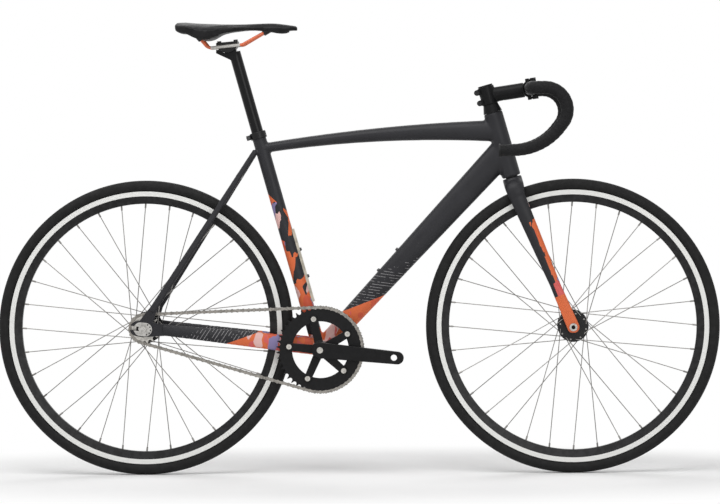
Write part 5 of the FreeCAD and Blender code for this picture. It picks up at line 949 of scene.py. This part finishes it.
class BIKE_OT_saddle(bpy.types.Operator):
    """Fills the saddle cushion and finishes the rails, clamp and post"""
    bl_idname = "bike.saddle"
    bl_label = "Saddle and post"
    SOFT_ROUNDS = 4

    def fill(self, cushion, sizes):
        """Swells the cushion a little, with no point moved past the largest swell."""
        rest = [vert.co.copy() for vert in cushion.data.vertices]
        cloth = cushion.modifiers.new("fill", "CLOTH")
        cloth.settings.use_pressure = True
        cloth.settings.uniform_pressure_force = sizes.pressure
        cloth.settings.effector_weights.gravity = 0.0
        for number in range(1, sizes.frames + 1):
            bpy.context.scene.frame_set(number)
        apply_modifiers(cushion)
        bpy.context.scene.frame_set(1)
        for vert, start in zip(cushion.data.vertices, rest):
            move = vert.co - start
            if move.length > sizes.swell:
                vert.co = start + move * (sizes.swell / move.length)

    def execute(self, context):
        scene = context.scene
        colours = scene.bike_colours
        sizes = scene.bike_saddle
        cushion = new_object("saddle_cushion", merged_copy("saddle_cover"))
        weld(cushion, sizes.voxel, self.SOFT_ROUNDS)
        self.fill(cushion, sizes)
        turn = cushion.data.attributes.new("turn", "FLOAT", "POINT")
        for vert, slot in zip(cushion.data.vertices, turn.data):
            slot.value = vert.normal.z
        rounded = cushion.modifiers.new("round", "SUBSURF")
        rounded.levels = 1
        rounded.render_levels = 1
        shade(cushion, saddle_leather())
        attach(cushion, "saddle")
        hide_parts("saddle_cover")
        dress(["saddle_base"], moulded_plastic())
        dress(["saddle_rails"], rail_coat(colours))
        forged = black_alloy(colours, "forged_clamp_alloy", 0.38)
        voxel = scene.bike_frame.part_voxel
        softened("saddle_cradle", voxel, SMALL_ROUNDS, forged, "saddle_clamp")
        softened("saddle_yoke", voxel, SMALL_ROUNDS, forged, "saddle_clamp")
        dress(["seatpost"], black_alloy(colours, "polished_black_alloy", 0.16, 0.16))
        dress(["saddle_clamp_bolts"], bare_metal("clamp_bolt_steel", "3A3A3B", 0.36, 1.5 * MM, 0.7))
        return {"FINISHED"}


class BIKE_OT_fittings(bpy.types.Operator):
    """Finishes the collar, strip and frame bolts"""
    bl_idname = "bike.fittings"
    bl_label = "Fittings"

    def execute(self, context):
        scene = context.scene
        colours = scene.bike_colours
        softened("seat_collar", scene.bike_frame.part_voxel, SMALL_ROUNDS,
                 black_alloy(colours, "machined_collar_alloy", 0.34), "frame")
        dress(["seat_tube_strip"], bare_metal("satin_strip_alloy", colours.strip, 0.36, 3 * MM))
        dress(["frame_bolts"], bare_metal("blackened_bolt_steel", "4A4A4B", 0.36, 1.5 * MM, 0.7))
        return {"FINISHED"}


class BIKE_OT_stage(bpy.types.Operator):
    """Sets the floor, lights and camera"""
    bl_idname = "bike.stage"
    bl_label = "Stage"
    CAMERA_AWAY = 7.0
    CAMERA_AHEAD = 0.336
    CAMERA_HEIGHT = 0.772
    CAMERA_ROLL = 0.27
    FLOOR_SIZE = 14.0
    SHADOW_REACH = (1.0 / 1.1, 1.0 / 0.5, 0.0)
    GLOW_START = 0.75
    GLOW_FULL = 1.35
    SOFT_LIGHT = 0.4
    LAMP_TARGET = Vector((0.0, 0.0, 0.5))
    LAMPS = {"key_light": ((-0.8, -1.6, 3.6), (3.5, 2.5), 85.0),
             "fill_light": ((1.8, -4.2, 1.6), (2.5, 2.5), 40.0),
             "back_light": ((0.0, 3.0, 2.8), (4.0, 2.0), 45.0)}

    def floor(self):
        """A floor that keeps the bike's shadow near the wheels and is white to the eye further off."""
        bm = bmesh.new()
        bmesh.ops.create_grid(bm, x_segments=1, y_segments=1, size=self.FLOOR_SIZE)
        floor = new_object("floor", bm)
        made, tree, shader, place = new_material(
            "white_floor", {"Roughness": 0.9, "Specular IOR Level": 0.0, "Emission Color": WHITE})
        tone = add(tree, "ValToRGB", {"stops": [(0.3, linear("F4F4F4")), (0.7, linear("F7F7F7"))]},
                   {"Fac": grain(tree, place, 0.4)})
        squeezed = add(tree, "VectorMath", {"operation": "MULTIPLY"}, {0: place, 1: self.SHADOW_REACH})
        away = add(tree, "VectorMath", {"operation": "LENGTH"}, {0: squeezed}, "Value")
        far = add(tree, "MapRange", {"interpolation_type": "SMOOTHSTEP"},
                  {"Value": away, "From Min": self.GLOW_START, "From Max": self.GLOW_FULL})
        glow = add(tree, "Math", {"operation": "MULTIPLY"}, {0: far, 1: seen_directly(tree)})
        near = add(tree, "Mix", {"data_type": "RGBA"}, {0: glow, 6: tone, 7: BLACK}, 2)
        tree.links.new(near, shader.inputs["Base Color"])
        tree.links.new(glow, shader.inputs["Emission Strength"])
        floor.data.materials.append(made)

    def world(self, scene):
        """White where the camera and reflections look, and a plain soft level of light elsewhere."""
        world = bpy.data.worlds.new("studio")
        scene.world = world
        world.use_nodes = True
        tree = world.node_tree
        background = tree.nodes["Background"]
        level = add(tree, "MapRange", None, {"Value": seen_directly(tree), "To Min": self.SOFT_LIGHT})
        tree.links.new(level, background.inputs["Strength"])
        background.inputs["Color"].default_value = WHITE

    def lamp(self, name, place, size, power):
        """A soft box turned to the middle of the bike."""
        data = bpy.data.lights.new(name, "AREA")
        data.shape = "RECTANGLE"
        data.size, data.size_y = size
        data.energy = power
        made = bpy.data.objects.new(name, data)
        made.location = place
        aim = self.LAMP_TARGET - Vector(place)
        made.rotation_euler = aim.to_track_quat("-Z", "Y").to_euler()
        bpy.context.scene.collection.objects.link(made)

    def camera(self, scene):
        """The photograph's viewpoint, with a shifted lens that keeps its frame."""
        data = bpy.data.cameras.new("camera")
        data.sensor_width = SENSOR_WIDTH
        data.lens = SENSOR_WIDTH * self.CAMERA_AWAY / (PHOTO_WIDTH * MM_PER_PIXEL * MM)
        right_of_middle = (self.CAMERA_AHEAD - PHOTO_MIDDLE) / (MM_PER_PIXEL * MM)
        over_middle = PHOTO_HEIGHT / 2 - (GROUND_PIXEL - self.CAMERA_HEIGHT / (MM_PER_PIXEL * MM))
        data.shift_x = -right_of_middle / PHOTO_WIDTH
        data.shift_y = -over_middle / PHOTO_WIDTH
        made = bpy.data.objects.new("camera", data)
        made.location = (self.CAMERA_AHEAD, -self.CAMERA_AWAY, self.CAMERA_HEIGHT)
        made.rotation_euler = (math.pi / 2, math.radians(self.CAMERA_ROLL), 0.0)
        scene.collection.objects.link(made)
        scene.camera = made

    def execute(self, context):
        scene = context.scene
        scene.view_settings.view_transform = "Standard"
        self.floor()
        self.world(scene)
        for name, (place, size, power) in self.LAMPS.items():
            self.lamp(name, place, size, power)
        self.camera(scene)
        return {"FINISHED"}


class BIKE_PT_panel(bpy.types.Panel):
    """Lists the pieces and their sizes"""
    bl_idname = "BIKE_PT_panel"
    bl_label = "Fixed Gear Bike"
    bl_space_type = "VIEW_3D"
    bl_region_type = "UI"
    bl_category = "Bike"

    def draw(self, context):
        for operator in OPERATORS:
            self.layout.operator(operator.bl_idname)
        for name, group in GROUPS.items():
            box = self.layout.box()
            for prop in group.__annotations__:
                box.prop(getattr(context.scene, name), prop)


OPERATORS = [BIKE_OT_frame, BIKE_OT_fork, BIKE_OT_tyres, BIKE_OT_wheels, BIKE_OT_drive, BIKE_OT_cockpit,
             BIKE_OT_tape, BIKE_OT_saddle, BIKE_OT_fittings, BIKE_OT_stage]


def register():
    for group in GROUPS.values():
        bpy.utils.register_class(group)
    for operator in OPERATORS:
        bpy.utils.register_class(operator)
    bpy.utils.register_class(BIKE_PT_panel)
    for name, group in GROUPS.items():
        setattr(bpy.types.Scene, name, bpy.props.PointerProperty(type=group))


def unregister():
    for name in GROUPS:
        delattr(bpy.types.Scene, name)
    bpy.utils.unregister_class(BIKE_PT_panel)
    for operator in reversed(OPERATORS):
        bpy.utils.unregister_class(operator)
    for group in reversed(list(GROUPS.values())):
        bpy.utils.unregister_class(group)


def main():
    register()
    bpy.ops.bike.frame()
    bpy.ops.bike.fork()
    bpy.ops.bike.tyres()
    bpy.ops.bike.wheels()
    bpy.ops.bike.drive()
    bpy.ops.bike.cockpit()
    bpy.ops.bike.tape()
    bpy.ops.bike.saddle()
    bpy.ops.bike.fittings()
    bpy.ops.bike.stage()


if __name__ == "__main__":
    main()
